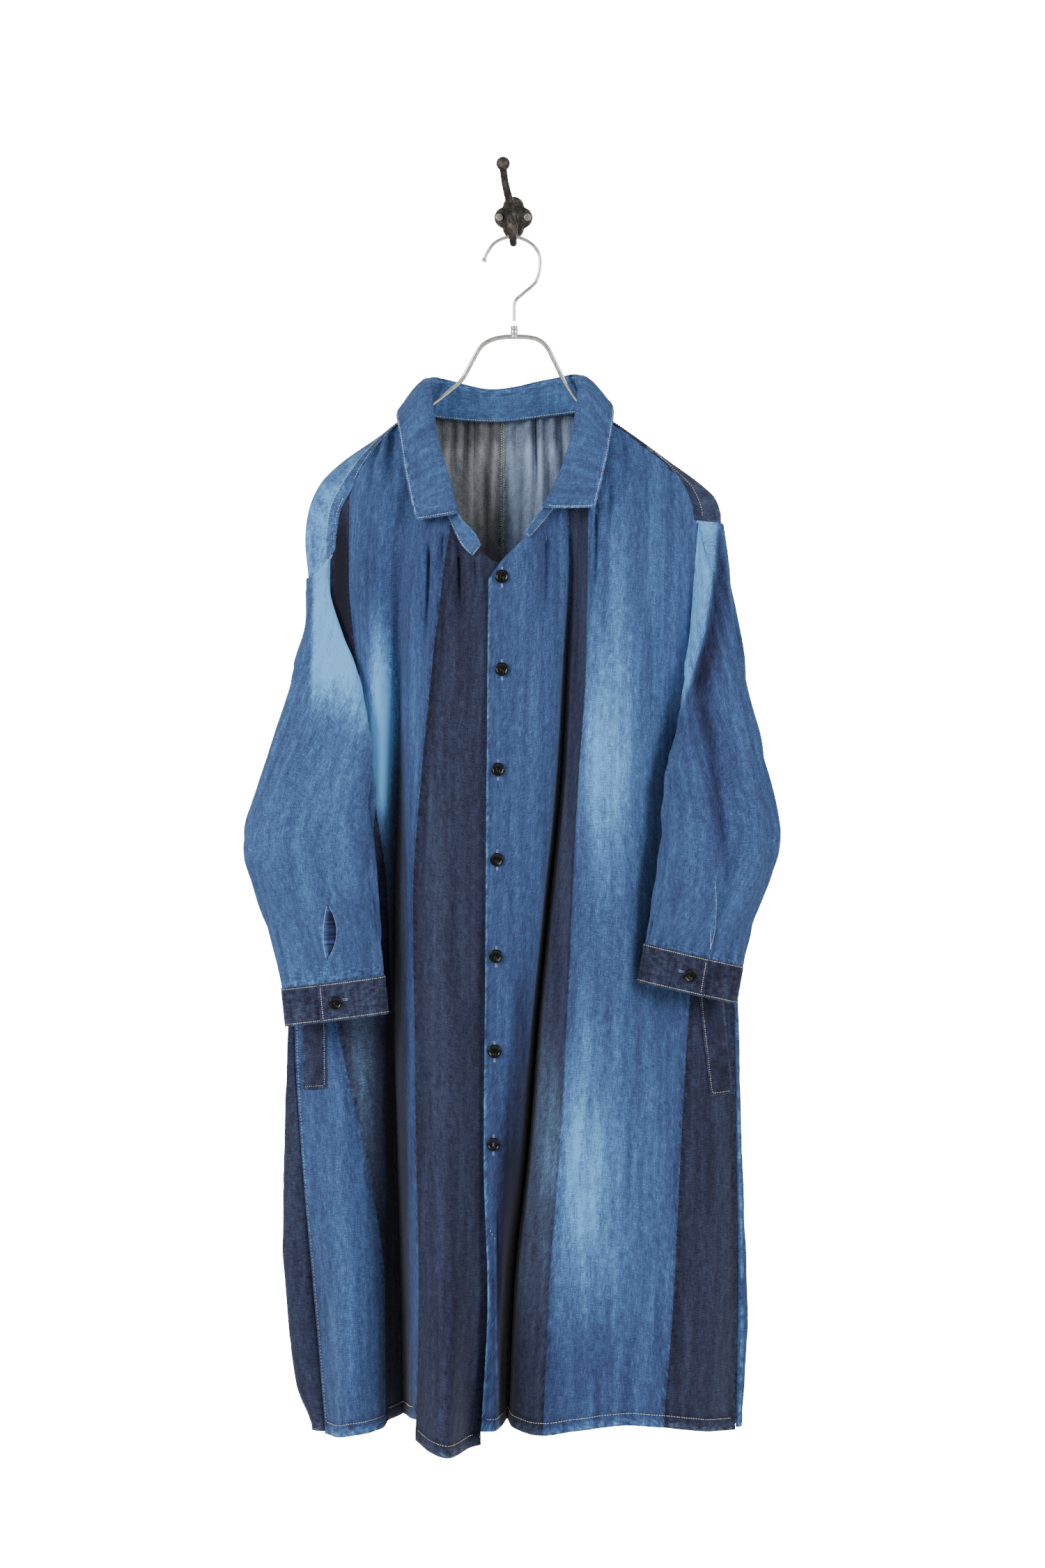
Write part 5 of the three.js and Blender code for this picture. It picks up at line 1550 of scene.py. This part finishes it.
holes = []
for k, (drop, x) in enumerate(zip(BUTTON_DROPS, BUTTON_X)):
    path, normals = surface(left_depth, [x], [drop])
    middle = box_middle(*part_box(f"front_button_{k + 1}"))
    lift = np.dot(middle - path[0], normals[0]) - BUTTON_THICK / 2
    at = path[0] + normals[0] * lift
    button(f"front_button_{k + 1}", BUTTON_RADIUS, BUTTON_THICK, at, normals[0], 0.25 - 0.06 * k)
    span = np.linspace(-11, 12, 24)
    for shift in (-0.6, 0.6):
        holes.append((*surface(left_depth, np.full(24, x + shift), drop + span), CLOTH / 2))

for side, band in (("right", right_cuff_at), ("left", left_cuff_at)):
    middle = box_middle(*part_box(f"cuff_button_{side}"))
    angle = np.array([lerp(CUFF_START, CUFF_END, CUFF_BUTTON_SHARE)])
    half = np.array([0.5])
    turn = band(angle - 0.05, half) - band(angle + 0.05, half)
    up = unit(np.cross(turn[0], np.array([0, 0, 1.0])))
    up = up if up[1] < 0 else -up
    button(f"cuff_button_{side}", CUFF_BUTTON_RADIUS, CUFF_BUTTON_THICK, middle - up * 0.9, up, 0.3)
    span = np.linspace(angle[0] + 0.10, angle[0] + 0.26, 12)
    for level in (0.46, 0.50):
        hole = form_row(band, span, level, middle + np.array([0, 40, 0]))
        holes.append((*hole, CUFF_CLOTH / 2 + 0.9))
stitches("buttonhole_stitching", holes, BLUE_THREAD, 0.9, 1.2, 1.2)


# Hanger: arms under the shoulder ridges, a ferrule, and the hook
def under_ridge(ridge, count):
    over = run(ridge)
    t = np.linspace(0.1, 0.47, count)
    along = over(t + 0.01) - over(t - 0.01)
    below = unit(np.stack([along[:, 2], np.zeros(count), -along[:, 0]], axis=1))
    below = np.where(below[:, 2:] > 0, -below, below)
    p = over(t) + below * (CLOTH / 2 + ARM_AIR + ARM_RADIUS)
    p[:, 1] = -HANGER_DEPTH
    return [[q[0], -q[2], HANGER_DEPTH] for q in p]


def seen(pairs):
    return [[x, drop, HANGER_DEPTH] for x, drop in pairs]


arm_path = run(
    under_ridge(RIGHT_RIDGE, 6)[::-1]
    + seen([[-90, 211], [-73, 198], [-56, 183], [-44, 162], [-34, 146], [-22, 139]])
    + seen([[0, 136], [26, 139], [36, 147], [44, 162], [54, 182], [64, 198], [74, 211], [83, 221.5]])
    + under_ridge(LEFT_RIDGE, 6)
)
wire("hanger_arms", arm_path(np.linspace(0, 1, 260)), ARM_RADIUS, 18)
hook_path = run(seen([
    [-32, 55], [-28, 45], [-19, 34], [-1, 28], [17, 34], [27, 45],
    [29, 58], [24, 77], [10, 90], [2, 98], [1, 110], [1, 119],
]))
hook_at = np.linspace(0, 1, 200)
hook_radius = HOOK_WIRE * (1 + 0.55 * bell(hook_at - 0.008, 0.014) * ease(-0.004, 0.004, hook_at))
wire("hanger_hook", hook_path(hook_at), hook_radius, 16)
ferrule_path = [[1, -HANGER_DEPTH, -FERRULE_DROP - z] for z, _ in FERRULE]
wire("hanger_ferrule", ferrule_path, [radius for _, radius in FERRULE], 24)


# Wall hook: a four-lobed plate with one bar that ends in a ball above and a curled tip below
def lobes(inset):
    outline = []
    r = LOBE_RADIUS - inset
    for k, (cx, cz) in enumerate(PLATE_LOBES):
        for s in np.linspace(-1.75, 1.75, 15):
            a = k * np.pi / 2 + s
            outline.append([cx * 0.62 + r * math.cos(a), cz * 0.68 + r * math.sin(a)])
    return np.array(outline)


def ball(centre, radius, rows=14, cols=22):
    centre = np.array(centre)
    points = [centre + [0, 0, radius]]
    for i in range(1, rows):
        a = np.pi * i / rows
        for j in range(cols):
            b = 2 * np.pi * j / cols
            way = [math.sin(a) * math.cos(b), math.sin(a) * math.sin(b), math.cos(a)]
            points.append(centre + radius * np.array(way))
    points.append(centre - [0, 0, radius])
    faces = []
    end = len(points) - 1
    for j in range(cols):
        k = (j + 1) % cols
        faces.append((0, 1 + j, 1 + k))
        faces.append((end, end - cols + k, end - cols + j))
        for i in range(rows - 2):
            a = 1 + i * cols
            faces.append((a + j, a + cols + j, a + cols + k, a + k))
    return np.array(points), faces


def wall_hook():
    levels = [(0, 0.3), (0.6, 0), (PLATE_THICK - 1.6, 0), (PLATE_THICK - 0.4, 0.7), (PLATE_THICK, 2.0)]
    plate = np.concatenate([np.insert(lobes(inset), 1, -depth, axis=1) for depth, inset in levels])
    bar = run([
        [-11, -46, 48], [-9, -32, 38], [-5, -17, 24], [-2, -4, 10], [0, 8, 9],
        [0, 21, 20], [0, 31, 33], [0, 34.6, 46], [-1, 29, 57], [-1, 20, 60],
    ])
    t = np.linspace(0, 1, 90)
    thick = PRONG_RADIUS * (0.92 + 0.3 * bell(t - 0.38, 0.16))
    parts = [
        (plate, tube_faces(len(levels), len(plate) // len(levels))),
        rod(bar(t), thick, 18), ball(*PRONG_KNOB), ball(*PRONG_TIP),
    ]
    points = []
    faces = []
    for p, f in parts:
        faces.extend(tuple(v + len(points) for v in face) for face in f)
        points.extend(p.tolist())
    return mend(piece("wall_hook", np.array(points), faces, IRON_FINISH, "iron", "wall_hook"))


def applied(obj):
    graph = bpy.context.evaluated_depsgraph_get()
    finished = bpy.data.meshes.new_from_object(obj.evaluated_get(graph))
    obj.modifiers.clear()
    obj.data = finished
    finished.polygons.foreach_set("use_smooth", np.ones(len(finished.polygons), bool))


casting = wall_hook()
melt = casting.modifiers.new("melt", "REMESH")
melt.mode = "VOXEL"
melt.voxel_size = CASTING_GRAIN
settle = casting.modifiers.new("settle", "SMOOTH")
settle.iterations = 3
applied(casting)


def screw(name, x):
    dome = np.linspace(1.0, 0.05, SCREW_RINGS)
    share = np.concatenate([[0.05, 1.0], dome])
    height = np.concatenate([[0, 0], 0.5 + 1.4 * np.sqrt(1 - dome ** 2)])
    angle = np.linspace(0, 2 * np.pi, SCREW_SIDES, endpoint=False)
    r = share[:, None] * SCREW_RADIUS * np.ones(SCREW_SIDES)[None]
    across = r * np.cos(angle)
    up = r * np.sin(angle)
    slot = np.minimum(np.abs(across), np.abs(up)) < SCREW_SLOT
    sunk = np.where(slot & (r < 0.62 * SCREW_RADIUS), SCREW_SLOT_DEPTH, 0) * (height[:, None] > 0.6)
    p = np.stack([across, up, height[:, None] - sunk], axis=-1)
    points = seat(p, np.array([x, -PLATE_THICK - 0.3, 0]), (0, -1, 0)).reshape(-1, 3)
    return piece(name, points, tube_faces(*p.shape[:2]), SCREW_FINISH, "iron", name)


screw("wall_hook_screw_right", -SCREW_SPREAD)
screw("wall_hook_screw_left", SCREW_SPREAD)


# Stage: a plain pale floor and a white backdrop all round
def plain(name, colour, glow):
    material, _, shader = node_tree(name)
    set_inputs(shader, {"Base Color": colour, "Roughness": 0.9})
    set_inputs(shader, {"Emission Color": (1, 1, 1, 1), "Emission Strength": glow})
    return material


def sheet_of_stage(name, corners, faces, material):
    mesh = bpy.data.meshes.new(name)
    mesh.from_pydata(corners, [], faces)
    mesh.materials.append(material)
    obj = bpy.data.objects.new(name, mesh)
    bpy.context.collection.objects.link(obj)
    return obj


sheet_of_stage(
    "floor",
    [
        (-FLOOR_REACH, -FLOOR_REACH, FLOOR_Z), (FLOOR_REACH, -FLOOR_REACH, FLOOR_Z),
        (FLOOR_REACH, FLOOR_BACK, FLOOR_Z), (-FLOOR_REACH, FLOOR_BACK, FLOOR_Z),
    ],
    [(0, 1, 2, 3)],
    plain("pale_floor", (0.85, 0.85, 0.84, 1), 0),
)
turns = [2 * math.pi * k / BACKDROP_SIDES for k in range(BACKDROP_SIDES)]
circle = [(BACKDROP_RADIUS * math.cos(a), BACKDROP_RADIUS * math.sin(a)) for a in turns]
backdrop = sheet_of_stage(
    "backdrop", [(x, y, z) for z in (-BACKDROP_HALF, BACKDROP_HALF) for x, y in circle],
    ring_quads(2, BACKDROP_SIDES), plain("white_backdrop", (0.9, 0.9, 0.9, 1), BACKDROP_GLOW),
)
backdrop.visible_diffuse = False
backdrop.visible_glossy = False
backdrop.visible_transmission = False
backdrop.visible_shadow = False

world = bpy.data.worlds.new("studio")
world.use_nodes = True
world.node_tree.nodes["Background"].inputs[0].default_value = (0.97, 0.98, 1.0, 1)
world.node_tree.nodes["Background"].inputs[1].default_value = WORLD_GLOW
bpy.context.scene.world = world


def softbox(name, at, size, power):
    light = bpy.data.lights.new(name, "AREA")
    light.shape = "RECTANGLE"
    light.size = size[0]
    light.size_y = size[1]
    light.energy = power
    obj = bpy.data.objects.new(name, light)
    bpy.context.collection.objects.link(obj)
    obj.location = at
    away = unit(np.array(at, float) - np.array(LIGHT_AIM, float))
    flat = math.hypot(away[0], away[1])
    obj.rotation_euler = (math.atan2(flat, away[2]), 0, math.atan2(away[0], -away[1]))
    return obj


for light_name, settings in LIGHTS.items():
    softbox(light_name, *settings)

camera_data = bpy.data.cameras.new("view")
camera_data.sensor_width = 36
camera_data.lens = CAMERA_LENS
camera = bpy.data.objects.new("view", camera_data)
bpy.context.collection.objects.link(camera)
camera.location = [v * 0.001 for v in CAMERA_AT]
camera.rotation_euler = (math.pi / 2, 0, 0)
bpy.context.scene.camera = camera
